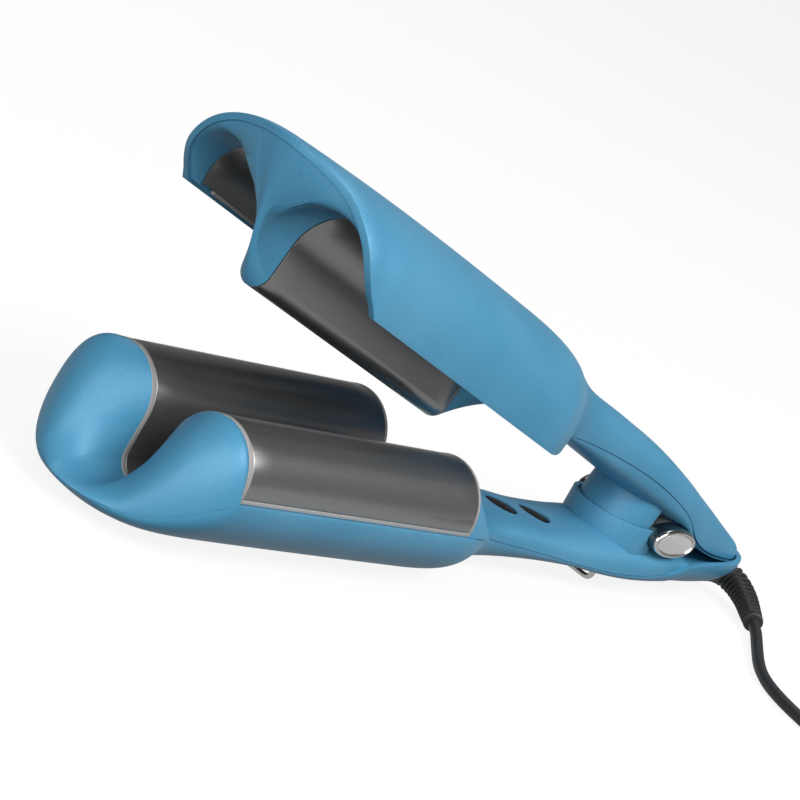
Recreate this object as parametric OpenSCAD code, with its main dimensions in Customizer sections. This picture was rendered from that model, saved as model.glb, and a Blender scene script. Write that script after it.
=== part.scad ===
// Hair waver: two hinged jaws with interlocking three-ridge hot plates, long handles and a power cord.
// The jaws point along -X, the handles along +X, and the lower jaw rests on z = 0.

/* [Jaws] */
// Distance between the two barrels of the lower plate
barrel_pitch = 40; // [34:1:48]
// Outer radius of a barrel
barrel_r = 14.5; // [12:0.5:15.5]
// Inner radius of the valley between the barrels
valley_r = 5.8; // [4:0.2:6.6]
// Height of the barrel crests above the resting face
crest_z = 39.6; // [37:0.2:44]
// Height of the valley floor above the resting face
valley_floor_z = 8.4; // [7.5:0.1:10]
// Length of both hot plates
plate_len = 110; // [90:1:140]
// Thickness of the hot plates
plate_t = 1.4; // [1:0.1:2]
// Width of the trim band at the ends of the plates
trim_w = 2; // [1:0.5:3]
// How far the lower nose reaches in front of the plates
nose_len = 26; // [20:1:34]
// Gap between the two plates when the jaws are closed
plate_clearance = 0.8; // [0.5:0.1:1.5]
// Wall of the moulded shells
shell_wall = 2; // [1.4:0.1:2.4]
// Gap at the parting lines between moulded pieces
parting_gap = 0.15; // [0.1:0.05:0.3]

/* [Handles] */
// Distance from the rear of the plates to the hinge
handle_reach = 140; // [120:1:180]
// Distance from the hinge to the tail of the lower handle
tail_reach = 67; // [62:1:84]
// Half of the lower handle's width at the hinge
handle_half_w = 17.4; // [17:0.2:21]
// Half of the handle's width at the neck behind the jaws
neck_half_w = 15; // [13:0.5:18]

/* [Hinge] */
// Height of the hinge axis
hinge_z = 22.6; // [21.6:0.2:24]
// Angle between the jaws at rest
open_angle = 14; // [8:1:16]
// Radius of the hinge pin
pin_r = 2.5; // [2:0.1:3]
// Radial running clearance of the pin in its bush
pin_clearance = 0.05; // [0.03:0.01:0.1]
// Wall of the hinge bush
bush_wall = 1; // [0.8:0.1:1.4]
// Length of the oval hinge caps along the handle
cap_len = 24; // [20:0.5:26]
// Height of the oval hinge caps
cap_h = 10.5; // [9.5:0.5:11.5]
// How far the caps reach from the middle of the handle
cap_out = 18.5; // [18:0.5:21]

/* [Buttons] */
// Diameter of a button
button_d = 11.5; // [9:0.5:14]
// Gap around a button
button_gap = 0.25; // [0.15:0.05:0.4]
// Travel of a button
button_travel = 0.8; // [0.5:0.1:1]

/* [Spring cup] */
// Length of the cup along the handle
cup_len = 21.5; // [20:0.5:24]
// Half of the cup's width
cup_half_w = 15; // [13:0.5:15.4]
// Wall of the cup and of the boss inside it
cup_wall = 1.6; // [1.2:0.1:2]
// Gap between the cup and the boss
cup_gap = 0.8; // [0.7:0.1:1]
// Radius of the return spring's coil
spring_r = 5; // [4:0.5:6]
// Radius of the return spring's wire
spring_wire_r = 0.6; // [0.5:0.1:0.8]

/* [Stand] */
// Length of the stand's legs
stand_len = 37; // [30:1:46]
// Half of the stand's width
stand_half_w = 7; // [6:0.5:7.5]
// Radius of the stand's wire
stand_wire_r = 0.95; // [0.8:0.05:1]
// Radial clearance of the stand's pivot
stand_clearance = 0.05; // [0.03:0.01:0.1]

/* [Cord] */
// Diameter of the cord
cord_d = 4; // [4:0.1:4]
// Radius of the strain relief where it leaves the handle
relief_r = 5; // [4.6:0.1:5.2]
// Radius of the strain relief at its thin end
relief_tip_r = 3.1; // [2.8:0.1:3.6]

/* [Hidden] */

blue = [0.33, 0.58, 0.74];
plate_grey = [0.22, 0.22, 0.22];
trim_grey = [0.52, 0.5, 0.48];
chrome = [0.82, 0.83, 0.85];
rubber_black = [0.08, 0.08, 0.08];
nylon_grey = [0.35, 0.36, 0.38];
copper_red = [0.6, 0.2, 0.15];
board_green = [0.1, 0.4, 0.2];
$fn = 48;

front_x = -plate_len / 2;
rear_x = plate_len / 2;
hinge_x = rear_x + handle_reach;
tail_x = hinge_x + tail_reach;
barrel_z = crest_z - barrel_r;
valley_z = valley_floor_z + valley_r;
wave_half_w = barrel_pitch / 2 + barrel_r;
jaw_half_w = wave_half_w + 1.8;
upper_half_w = wave_half_w + plate_clearance + plate_t + shell_wall + 0.5;
nose_gap = 0.15;
seam_z = barrel_z - 2.8;
lip_z = seam_z - 0.5;
rest_z = seam_z + 0.5;
cap_in = 12.9;
cap_gap = 0.2;
ear_in = 8.8;
ear_out = 12.5;
knuckle_half_w = 8.3;
knuckle_r = pin_r + bush_wall + 2.1;
cup_front_x = hinge_x - 29.5;
cup_rear_x = cup_front_x + cup_len;
cup_rim_z = hinge_z + 2;
cup_floor_z = hinge_z - 9.2;
frame_foot_z = 7.4;
inner_face_z = hinge_z - 4.1;
upper_face_z = hinge_z + 4.3;
board_x = rear_x + 50;
board_z = 10.5;
board_t = 1.5;
board_foot_z = 7.6;
stand_x = hinge_x - 55;
stand_z = 7.6;
heater_gap = 0.1;
liner_wall = 1.6;
visor_wall = 1.4;
screw_r = 1.1;

function lerp(a, b, t) = a + (b - a) * t;
function smooth(a, b, x) = let(t = max(0, min(1, (x - a) / (b - a)))) t * t * (3 - 2 * t);
function power(a, e) = sign(a) * pow(abs(a), e);
function unit(v) = v / max(norm(v), 0.000001);

// A fall that starts at once and eases out
function fall(a, b, x) = 1 - pow(1 - max(0, min(1, (x - a) / (b - a))), 3);

// Slope of a curve through keys at key i
function slope(k, i) =
  i == 0 || i == len(k) - 1 ? 0 : (k[i + 1][1] - k[i - 1][1]) / (k[i + 1][0] - k[i - 1][0]);
// Smooth curve through [position, value] keys
function track(k, x, i = 0) =
  x <= k[0][0] ? k[0][1] :
  x >= k[len(k) - 1][0] ? k[len(k) - 1][1] :
  x > k[i + 1][0] ? track(k, x, i + 1) :
  let(h = k[i + 1][0] - k[i][0], t = (x - k[i][0]) / h, m = slope(k, i) * h, n = slope(k, i + 1) * h)
    (2 * t * t * t - 3 * t * t + 1) * k[i][1] + (t * t * t - 2 * t * t + t) * m
    + (3 * t * t - 2 * t * t * t) * k[i + 1][1] + (t * t * t - t * t) * n;

// ---- The wave that both plates follow, as [y, z] points from the middle of the valley outwards
wave_lean = atan2(barrel_z - valley_z, barrel_pitch / 2)
  - acos((barrel_r + valley_r) / norm([barrel_pitch / 2, barrel_z - valley_z]));
valley_steps = 4;
barrel_steps = 10;
function half_wave(off, side_z) = concat(
  [for (i = [0:valley_steps]) let(a = -90 + (90 + wave_lean) * i / valley_steps)
    [(valley_r - off) * cos(a), valley_z + (valley_r - off) * sin(a)]],
  [for (i = [0:barrel_steps]) let(a = (180 + wave_lean) * (1 - i / barrel_steps))
    [barrel_pitch / 2 + (barrel_r + off) * cos(a), barrel_z + (barrel_r + off) * sin(a)]],
  [[wave_half_w + off, side_z]]
);
function mirror_y(half) = [for (i = [len(half) - 1:-1:1]) [-half[i][0], half[i][1]]];
function wave(off, side_z) = let(h = half_wave(off, side_z)) concat(mirror_y(h), h);
function reversed(p) = [for (i = [len(p) - 1:-1:0]) p[i]];
function wave_band(top, bottom, side_z) = concat(wave(top, side_z), reversed(wave(bottom, side_z)));

// Shares of the wave's length, from -1 at one side to 1 at the other
wave_path = wave(0, seam_z);
function run_to(p, n) = n == 0 ? 0 : norm(p[n] - p[n - 1]) + run_to(p, n - 1);
wave_run = [for (i = [0:len(wave_path) - 1]) run_to(wave_path, i)];
wave_share = [for (r = wave_run) 2 * r / wave_run[len(wave_run) - 1] - 1];

// ---- Outlines of the two arms
lower_w_keys = [
  [rear_x - 8, jaw_half_w], [rear_x + 6, jaw_half_w - 1.6], [rear_x + 19, 28.5], [rear_x + 32, 20],
  [rear_x + 45, neck_half_w + 0.6], [rear_x + 60, neck_half_w], [hinge_x - 45, neck_half_w + 0.9],
  [hinge_x - 12, handle_half_w], [hinge_x + 15, handle_half_w], [tail_x - 27, 16.4],
  [tail_x - 13, 13.2], [tail_x - 5, 8.6], [tail_x - 1.5, 5], [tail_x, 2.4]
];
nose_round = 1.5;
function nose_curve(t) = pow(max(0, 1 - pow(t, nose_round)), 1 / nose_round);
function nose_half_w(x, half_w, reach) = half_w * nose_curve(min(1, max(0, (front_x - x) / reach)));
function lower_w(x) = x < front_x ? nose_half_w(x, jaw_half_w, nose_len) : track(lower_w_keys, x);
nose_tip_z = 5.6;
function nose_edge_z(y) = nose_tip_z + (seam_z - nose_tip_z) * pow(min(1, abs(y) / jaw_half_w), 3.4);
lower_seam_keys = [
  [rear_x - 2, seam_z], [rear_x + 18, 20.3], [rear_x + 43, 13.8], [rear_x + 70, 11.5], [hinge_x - 33, 9],
  [hinge_x - 10, 9.2], [hinge_x + 11, 12.2], [hinge_x + 20, 15.4], [hinge_x + 35, 17], [tail_x, 17.6]
];
function lower_seam_z(x) = x < front_x ? nose_edge_z(lower_w(x)) : track(lower_seam_keys, x);
lower_bottom_keys = [
  [front_x - nose_len, 5], [front_x - 20, 2.6], [front_x - 8, 0.5], [front_x + 8, -0.3], [rear_x - 10, -0.3],
  [rear_x + 25, 0.4], [rear_x + 45, 2.4], [rear_x + 62, 4.2], [hinge_x - 45, 6.2], [hinge_x - 28, 5],
  [hinge_x - 6, 4], [hinge_x + 25, 3.8], [hinge_x + 42, 4.6],
  [tail_x - 12, 6.2], [tail_x - 4, 8.8], [tail_x, 12.6]
];
function lower_bottom_z(x) = track(lower_bottom_keys, x);

upper_w_keys = [
  [front_x - 24, 26], [front_x - 22, 29.5], [front_x - 18, 34.2], [front_x - 15, 36.2], [front_x - 11, 37.6],
  [front_x - 5, 38.2], [front_x + 4, upper_half_w], [rear_x + 3, upper_half_w], [rear_x + 11, 37],
  [rear_x + 21, 32.2], [rear_x + 31, 25.8], [rear_x + 41, 19.8], [rear_x + 52, 15.8],
  [rear_x + 64, neck_half_w - 0.5],
  [hinge_x - 50, neck_half_w - 0.5], [hinge_x - 20, 15.2], [hinge_x, 15.4], [hinge_x + 15, 14.6],
  [hinge_x + 30, 13.2], [hinge_x + 42, 11.2], [tail_x - 10, 8.6], [tail_x - 5, 5.8], [tail_x - 2.6, 3.2]
];
function upper_w(x) = track(upper_w_keys, x);
upper_seam_keys = [
  [rear_x + 4, lip_z], [rear_x + 14, 22.6], [rear_x + 26, 25.2], [rear_x + 42, 28.8], [rear_x + 62, 31.5],
  [hinge_x - 57, 33.6], [hinge_x - 28, 34.8], [hinge_x, 32.8], [hinge_x + 19, 27.6], [hinge_x + 38, 27.6],
  [tail_x - 8, 30.6], [tail_x - 2, 32]
];
function upper_seam_z(x) = track(upper_seam_keys, x);
upper_top_keys = [
  [front_x - 24, 47.2], [front_x - 15, 48.5], [front_x + 38, 50.6], [rear_x - 7, 51.4], [rear_x + 18, 51],
  [rear_x + 40, 48.4], [rear_x + 62, 45.2], [rear_x + 90, 45], [hinge_x - 25, 44.6], [hinge_x, 42.6],
  [hinge_x + 28, 39.6], [hinge_x + 50, 37], [tail_x - 6, 35.6], [tail_x - 2, 34.4]
];
function upper_top_z(x) = track(upper_top_keys, x);

// A curved edge line of a section: a rounded box shape between two sides and a middle height
function arch(x, half_w, side_z, mid_z, round, share) = let(a = 90 * share)
  [x, half_w * power(sin(a), 2 / round), side_z + (mid_z - side_z) * pow(cos(a), 2 / round)];

// ---- Thin shells as one closed skin: a grid of points and the same grid with its sections offset
tuck = shell_wall + 3 * parting_gap;
function offset_at(row, j) =
  let(n = len(row) - 1, d = unit(row[min(j + 1, n)] - row[max(j - 1, 0)])) [0, -d[2], d[1]];
// A section's inner side, offset by w and kept within limit of the middle, each point a little further in
function offset_row(row, w, limit) = [for (j = [0:len(row) - 1]) let(
  p = row[j] + w * offset_at(row, j),
  near_end = min(j, len(row) - 1 - j))
  [p[0], sign(p[1]) * min(abs(p[1]), limit - 0.1 * near_end), p[2]]];
// The same with its two ends level with the outer side's ends
function level_ends(inner, row, f) = [for (j = [0:len(row) - 1]) j > 0 && j < len(row) - 1 ? inner[j] :
  [inner[j][0], inner[j][1], lerp(inner[j][2] + 0.5, row[j][2], f)]];
// The inner side of the lower cover
function lower_lining(row) = level_ends(offset_row(row, -shell_wall, lower_w(row[0][0]) - tuck), row, 1);
// The inner side of the upper cover: in the handle it is narrowed and raised
function upper_lining(row) = let(
    x = row[0][0],
    f = smooth(rear_x + 16, rear_x + 24, x),
    k = 1 - tuck / abs(row[0][1]),
    near = offset_row(row, liner_wall, upper_w(x) - tuck - 0.7),
    inner = [for (j = [0:len(row) - 1]) lerp(near[j], [x, k * row[j][1], row[j][2] + liner_wall], f)])
  level_ends(inner, row, smooth(rear_x + 31, rear_x + 40, x));
module shell(outer, inner) {
  m = len(outer);
  n = len(outer[0]);
  c = m * n;
  points = concat([for (r = outer) each r], [for (r = inner) each r]);
  outside = [for (i = [0:m - 2], j = [0:n - 2]) let(a = i * n + j)
    each [[a, a + 1, a + n + 1], [a, a + n + 1, a + n]]];
  inside = [for (i = [0:m - 2], j = [0:n - 2]) let(a = c + i * n + j)
    each [[a, a + n + 1, a + 1], [a, a + n, a + n + 1]]];
  sides = [for (i = [0:m - 2], j = [0, n - 1]) let(a = i * n + j, b = a + n)
    each j == 0 ? [[a, b, b + c], [a, b + c, a + c]] : [[a, b + c, b], [a, a + c, b + c]]];
  ends = [for (i = [0, m - 1], j = [0:n - 2]) let(a = i * n + j, b = a + 1)
    each i == 0 ? [[a, b + c, b], [a, a + c, b + c]] : [[a, b, b + c], [a, b + c, a + c]]];
  polyhedron(points, concat(outside, inside, sides, ends));
}

// A round tube or rod swept along points, with the radius at each point
module swept(path, radii, sides) {
  m = len(path);
  function along(i) = unit(path[min(i + 1, m - 1)] - path[max(i - 1, 0)]);
  function across(i) = let(d = along(i)) unit(cross(d, abs(d[2]) < 0.9 ? [0, 0, 1] : [1, 0, 0]));
  rings = [for (i = [0:m - 1]) let(u = across(i), v = cross(along(i), u))
    for (s = [0:sides - 1]) path[i] + radii[i] * (u * cos(360 * s / sides) + v * sin(360 * s / sides))];
  walls = [for (i = [0:m - 2], s = [0:sides - 1]) let(a = i * sides + s, b = i * sides + (s + 1) % sides)
    each [[a, a + sides, b + sides], [a, b + sides, b]]];
  caps = concat(
    [for (s = [1:sides - 2]) [0, s, s + 1]],
    [for (s = [1:sides - 2]) let(e = (m - 1) * sides) [e, e + s + 1, e + s]]
  );
  polyhedron(rings, concat(walls, caps));
}
// Points on a smooth curve through a route
function catmull(p, i, t) = let(
    n = len(p) - 1, a = p[max(i - 1, 0)], b = p[i], c = p[min(i + 1, n)], d = p[min(i + 2, n)])
  0.5 * (2 * b + (c - a) * t + (2 * a - 5 * b + 4 * c - d) * t * t + (3 * b - a - 3 * c + d) * t * t * t);
function curve(p, steps) = concat(
  [for (i = [0:len(p) - 2], s = [0:steps - 1]) catmull(p, i, s / steps)], [p[len(p) - 1]]);
function same(r, n) = [for (i = [1:n]) r];

// Moves what is drawn with the jaws closed to the open rest position
module opened() {
  translate([hinge_x, 0, hinge_z]) rotate([0, open_angle, 0]) translate([-hinge_x, 0, -hinge_z]) children();
}
// Extrudes a [y, z] outline along X
module along_x(from_x, to_x) {
  translate([from_x, 0, 0]) rotate([90, 0, 90]) linear_extrude(to_x - from_x) children();
}
// A cylinder along Y
module pin_y(x, z, r, from_y, to_y) {
  translate([x, to_y, z]) rotate([90, 0, 0]) cylinder(r = r, h = to_y - from_y);
}
module box(from, to) { translate(from) cube(to - from); }

// ---- Lower arm shells
section_steps = 20;
nose_end_x = front_x - nose_len + 0.25;
lower_stations = concat(
  [for (u = [0, 0.5, 1.2, 2.4, 4.4, 7.5, 12, 18, 24]) nose_end_x + u],
  [for (x = [front_x + 4, 0, rear_x - 12]) x],
  [for (x = [-2, 4, 10, 16, 22, 28, 34, 40, 52, 64, 74]) rear_x + x],
  [for (i = [1:6]) lerp(rear_x + 74, hinge_x + 4, i / 6)],
  [for (x = [12, 20]) hinge_x + x],
  [for (u = [40, 32, 24, 17, 11, 7, 4, 2, 0.8, 0]) tail_x - u]
);
function lower_outline(x, w) = let(half_w = max(1, lower_w(x) - w), mid_z = lower_bottom_z(x) + w)
  [for (i = [0:section_steps]) let(s = 1 - 2 * i / section_steps,
    p = arch(x, half_w, lower_seam_z(x), mid_z, 2.05, s))
    [p[0], p[1], max(w, p[2])]];
module lower_outer_shell() color(blue) difference() {
  shell(
    [for (x = lower_stations) lower_outline(x, 0)],
    [for (x = lower_stations) let(share = (x - nose_end_x) / (tail_x - nose_end_x))
      lower_outline(lerp(nose_end_x + shell_wall, tail_x - shell_wall, share), shell_wall)]
  );
  box([stand_x - 4.2, -10.6, -1], [hinge_x - 3.8, 10.6, stand_z + 2.5]);
  translate([tail_x - 10, 0, relief_z]) rotate([0, 90, 0]) cylinder(r = relief_r + 0.5, h = 20);
}

nose_steps = 8;
function nose_grid(w) = [for (i = [0:nose_steps]) let(t = 90 * i / nose_steps)
  [for (j = [0:len(wave_path) - 1]) let(
    s = wave_share[j],
    start = wave(-w, seam_z + parting_gap)[j],
    half_w = jaw_half_w - w,
    end_y = half_w * sin(90 * s),
    end_x = front_x - nose_gap - (nose_len - w) * nose_curve(abs(end_y) / half_w),
    end_z = nose_edge_z(jaw_half_w * sin(90 * s)) + 2 * parting_gap + 0.3 * w,
    full = lerp(1.25, 2.2, smooth(0.18, 0.5, abs(s))) - 0.5 * smooth(0.75, 1, abs(s)),
    f = pow(sin(t), 2 / full),
    g = 1 - pow(cos(t), 2 / full))
    [lerp(front_x - nose_gap, end_x, f), lerp(start[0], end_y, f), lerp(start[1], end_z, g)]]];
module lower_nose_cap() color(blue) shell(nose_grid(0), nose_grid(shell_wall));

cover_mid_keys = [
  [rear_x + 35, 19.4], [rear_x + 63, 19.1], [rear_x + 83, 17.8], [hinge_x - 34, inner_face_z - 0.6],
  [hinge_x - 24, inner_face_z], [hinge_x + 8, inner_face_z], [hinge_x + 17, 16.4], [hinge_x + 28, 14.2],
  [tail_x - 22, 13.4], [tail_x - 10, 13.4]
];
cover_stations = concat(
  [for (x = [0, 1.2, 3, 5.5, 10, 16, 22, 28, 34, 40, 52, 64, 74]) rear_x + max(parting_gap, x)],
  [for (i = [1:6]) lerp(rear_x + 74, hinge_x + 4, i / 6)],
  [for (x = [9, 14, 19, 25, 31, 38]) hinge_x + x],
  [for (x = [20, 15, 10.5]) tail_x - x]
);
function tail_share(x) = smooth(hinge_x + 2, hinge_x + 16, x);
function cover_half_w(x) =
  lerp(lower_w(x), 0.84 * (lower_w(x) - shell_wall) - 2 * parting_gap, tail_share(x));
function cover_section(x) = let(
    f = fall(rear_x, rear_x + 36, x),
    half_w = cover_half_w(x),
    mid_z = track(cover_mid_keys, x),
    side_z = lerp(lower_seam_z(x) + 2 * parting_gap, mid_z - 1, tail_share(x)),
    round = lerp(2.6, 3, f))
  [for (j = [0:len(wave_path) - 1]) let(
    q = wave(0, seam_z + 2 * parting_gap)[j],
    s = wave_share[j],
    p = arch(x, half_w, side_z, mid_z, round, s * 0.999))
    [x, lerp(q[0], p[1], f), lerp(q[1], p[2], f)]];
module lower_handle_cover() {
  grid = [for (x = cover_stations) cover_section(x)];
  color(blue) difference() {
    shell(grid, [for (row = grid) lower_lining(row)]);
    box([rear_x - 5, -60, 0], [rear_x + parting_gap / 2, 60, 60]);
    for (x = button_x) translate([x, 0, 0]) cylinder(r = button_d / 2 + button_gap, h = 40);
    linear_extrude(40) polygon(cup_outline(-0.2));
    box([hinge_x - knuckle_r - 1, -ear_out - 0.2, 0], [hinge_x + knuckle_r + 1, ear_out + 0.2, 40]);
    cap_pockets();
  }
}

// ---- Lower hot plate and what is behind it
module lower_heat_plate() color(plate_grey) along_x(front_x + trim_w, rear_x - 1)
  polygon(wave_band(0, -plate_t, seam_z + 1.4));
module lower_plate_trim() color(trim_grey) {
  along_x(front_x, front_x + trim_w - 0.05) polygon(wave_band(0.1, -plate_t - 0.6, seam_z + parting_gap));
  along_x(rear_x - 0.95, rear_x) polygon(wave_band(0.1, -plate_t - 0.6, seam_z + parting_gap));
  for (s = [-1, 1])
    along_x(front_x + trim_w - 0.06, rear_x - 0.94)
      translate([s * (wave_half_w - 0.95), seam_z + 0.7 + parting_gap / 2])
        square([2.1, 1.3 - parting_gap], true);
}
carrier_len = plate_len - 12;
tray_top = [[0, 5.6], [8, 5.6], [11, 7.6], [14, 11], [28, 15.6], [31, 17]];
tray_bottom = [[31, 15.4], [26, 11], [16, 5.6], [10, 3.6], [0, 3.2]];
module lower_plate_carrier() color(nylon_grey) {
  half = concat(tray_top, tray_bottom);
  along_x(-carrier_len / 2, carrier_len / 2)
    polygon(concat(half, [for (i = [len(half) - 1:-1:0]) if (half[i][0] > 0) [-half[i][0], half[i][1]]]));
  for (x = [-1, 0, 1] * carrier_len * 0.38, s = [-1, 1])
    box([x - 4, s * barrel_pitch / 2 - 4, 10.5], [x + 4, s * barrel_pitch / 2 + 4, barrel_z + 3]);
}
heater_len = plate_len * 0.8;
heater_base_z = barrel_z + 4;
module heater_bar() along_x(-heater_len / 2, heater_len / 2) intersection() {
  circle(barrel_r - plate_t - 3 * heater_gap);
  translate([-9, 4]) square([18, 12]);
}
module lower_heaters() color(copper_red)
  for (s = [-1, 1]) translate([0, s * barrel_pitch / 2, barrel_z]) heater_bar();
module lower_heater_springs() color(chrome)
  for (s = [-1, 1])
    box([-heater_len / 2, s * barrel_pitch / 2 - 6, heater_base_z - 0.9],
      [heater_len / 2, s * barrel_pitch / 2 + 6, heater_base_z - 0.1]);
fuse_r = 2;
module lower_thermal_fuse() color("ivory")
  translate([-25, barrel_pitch / 2 + 7, 18.4]) rotate([0, 90, 0]) cylinder(r = fuse_r, h = 14);
lead_r = 0.9;
lead_route = [[heater_len / 2, 20, barrel_z + 1], [rear_x - 1, 18, 18], [rear_x + 16, 10, 12.5],
  [rear_x + 34, 5, 10.5], [board_x + 1, 4, board_z + board_t + 1.1]];
module lower_heater_leads() color("firebrick")
  for (s = [-1, 1], k = [0, 1]) swept(
    curve([for (p = lead_route) [p[0], s * (p[1] + 2.4 * k), p[2]]], 4),
    same(lead_r, 17), 6);

// ---- Control board and buttons
board_len = 48;
module control_board() color(board_green) {
  box([board_x, -9.5, board_z], [board_x + board_len, 9.5, board_z + board_t]);
  box([board_x + 40.4, -6, board_z + board_t], [board_x + 45.4, -1, board_z + board_t + 2.4]);
  translate([board_x + 42, 4.5, board_z + board_t]) cylinder(r = 2.2, h = 2.6);
}
module board_standoffs() color(nylon_grey)
  for (x = [3, board_len - 3], y = [-7.5, 7.5]) let(foot_z = x == 3 ? board_foot_z : stand_z + 2.2)
    translate([board_x + x, y, foot_z]) cylinder(r = 1.6, h = board_z - foot_z);
button_x = [rear_x + 63, rear_x + 83];
switch_top_z = board_z + board_t + 1;
module tact_switches() color("dimgray")
  for (x = button_x) {
    box([x - 3, -3, board_z + board_t], [x + 3, 3, switch_top_z - 0.4]);
    translate([x, 0, switch_top_z - 0.4]) cylinder(r = 1.6, h = 0.4);
  }
module button(x) {
  face_z = track(cover_mid_keys, x) - 0.25;
  flange_z = track(cover_mid_keys, x) - shell_wall - 0.8;
  color(rubber_black) {
    translate([x, 0, flange_z - 0.5]) cylinder(r = button_d / 2, h = face_z - flange_z + 0.5);
    translate([x, 0, flange_z - 0.8]) cylinder(r = button_d / 2 + 0.9, h = 0.8);
    translate([x, 0, switch_top_z + button_travel + 0.1])
      cylinder(r = 1.4, h = flange_z - switch_top_z - button_travel);
  }
}
module power_button() button(button_x[0]);
module heat_button() button(button_x[1]);

// ---- Spring cup and hinge of the lower arm
function cup_outline(inset) = let(a = 14.5 - inset, b = cup_half_w - inset, xc = cup_front_x + 14.5)
  concat([for (t = [90:10:270]) [xc + a * cos(t), b * sin(t)]],
    [[cup_rear_x - inset, -b], [cup_rear_x - inset, b]]);
module cap_pockets() {
  for (s = [-1, 1]) oval_y(-cap_gap, s < 0 ? -30 : cap_in - cap_gap, s < 0 ? -cap_in + cap_gap : 30);
}
module lower_spring_cup() color(blue) difference() {
  translate([0, 0, cup_floor_z]) linear_extrude(cup_rim_z - cup_floor_z) polygon(cup_outline(0));
  translate([0, 0, cup_floor_z + cup_wall]) linear_extrude(30) polygon(cup_outline(cup_wall));
  cap_pockets();
}
spring_x = cup_front_x + 10.5;
spring_turns = 5;
module return_spring() color(chrome) {
  low_z = cup_floor_z + cup_wall + spring_wire_r + 0.05;
  high_z = hinge_z + 7.4;
  path = [for (i = [0:spring_turns * 16]) let(a = i * 22.5, t = i / (spring_turns * 16))
    [spring_x + spring_r * cos(a), spring_r * sin(a), lerp(low_z, high_z, t)]];
  swept(path, same(spring_wire_r, len(path)), 6);
}
module lower_hinge_frame() color(nylon_grey) difference() {
  union() {
    box([cup_rear_x + 0.6, -ear_out, cup_floor_z - 1], [hinge_x + 6, ear_out, cup_floor_z + 1.2]);
    box([hinge_x + 5, -9.5, cup_floor_z - 1], [hinge_x + 11, 9.5, cup_floor_z + 1.2]);
    for (y = [-7, 7])
      translate([hinge_x + 8, y, frame_foot_z]) cylinder(r = 2.2, h = cup_floor_z - frame_foot_z);
    for (s = [-1, 1]) mirror([0, s < 0 ? 1 : 0, 0]) {
      pin_y(hinge_x, hinge_z, knuckle_r - 0.4, ear_in, ear_out);
      box([hinge_x - knuckle_r + 0.4, ear_in, cup_floor_z], [hinge_x + knuckle_r - 0.4, ear_out, hinge_z]);
    }
  }
  pin_y(hinge_x, hinge_z, pin_r + 0.02, -30, 30);
  for (y = [-7, 7]) screw_hole(hinge_x + 8, y, cup_floor_z + 1.2);
}
pin_half_len = cap_out - 3.5;
module hinge_pin() color(chrome) pin_y(hinge_x, hinge_z, pin_r, -pin_half_len, pin_half_len);
function oval(inset) = [for (a = [0:10:350])
  [(cap_len / 2 - inset) * cos(a), (cap_h / 2 - inset) * sin(a)]];
module oval_y(inset, from_y, to_y, turn = 0) {
  translate([hinge_x, to_y, hinge_z]) rotate([90, 0, 0]) rotate(turn) linear_extrude(to_y - from_y)
    polygon(oval(inset));
}
cap_rim = 1.5;
disc_t = 1;
module hinge_cap() color(chrome) difference() {
  oval_y(0, -cap_out, -cap_in);
  oval_y(cap_rim, -cap_out - 1, -cap_out + disc_t + 0.4);
  pin_y(hinge_x, hinge_z, pin_r + 0.02, -pin_half_len - 0.2, 0);
}
module hinge_disc() color([0.75, 0.76, 0.74])
  oval_y(cap_rim + 0.1, -cap_out + 0.35, -cap_out + disc_t + 0.35);
module hinge_cap_near() hinge_cap();
module hinge_cap_far() mirror([0, 1, 0]) hinge_cap();
module hinge_disc_near() hinge_disc();
module hinge_disc_far() mirror([0, 1, 0]) hinge_disc();
module screw(x, y, z, depth) translate([x, y, z]) {
  translate([0, 0, 0.02]) cylinder(r = 2.2, h = 0.8);
  translate([0, 0, -depth]) cylinder(r = screw_r, h = depth + 0.1);
}
module screw_hole(x, y, z) translate([x, y, z - 5]) cylinder(r = screw_r + 0.05, h = 6);
module lower_screws() color(chrome) for (y = [-7, 7]) screw(hinge_x + 8, y, cup_floor_z + 1.2, 4);

// ---- Folding wire stand
tray_side = stand_half_w + stand_wire_r + 0.15;
module stand_tray() color(nylon_grey) difference() {
  union() {
    box([stand_x - 4, -10.4, stand_z + 1.1], [hinge_x - 4, 10.4, stand_z + 2.1]);
    for (s = [-1, 1]) mirror([0, s < 0 ? 1 : 0, 0])
      box([stand_x - 2.2, tray_side, stand_z - 1.4], [stand_x + 2.2, tray_side + 1.4, stand_z + 1.2]);
  }
  pin_y(stand_x, stand_z, stand_wire_r + stand_clearance, -20, 20);
}
foot_drop = 6.5;
module wire_stand() color(chrome) {
  foot_x = stand_x + stand_len;
  for (s = [-1, 1]) mirror([0, s < 0 ? 1 : 0, 0]) {
    pin_y(stand_x, stand_z, stand_wire_r, stand_half_w, tray_side + 1.3);
    translate([stand_x, stand_half_w, stand_z]) sphere(stand_wire_r);
    translate([stand_x, stand_half_w, stand_z]) rotate([0, 90, 0]) cylinder(r = stand_wire_r, h = stand_len);
    translate([foot_x, stand_half_w, stand_z]) sphere(stand_wire_r);
    translate([foot_x, stand_half_w, stand_z - foot_drop]) cylinder(r = stand_wire_r, h = foot_drop);
    translate([foot_x, stand_half_w, stand_z - foot_drop]) sphere(stand_wire_r);
  }
  pin_y(foot_x, stand_z - foot_drop, stand_wire_r, -stand_half_w, stand_half_w);
}

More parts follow.
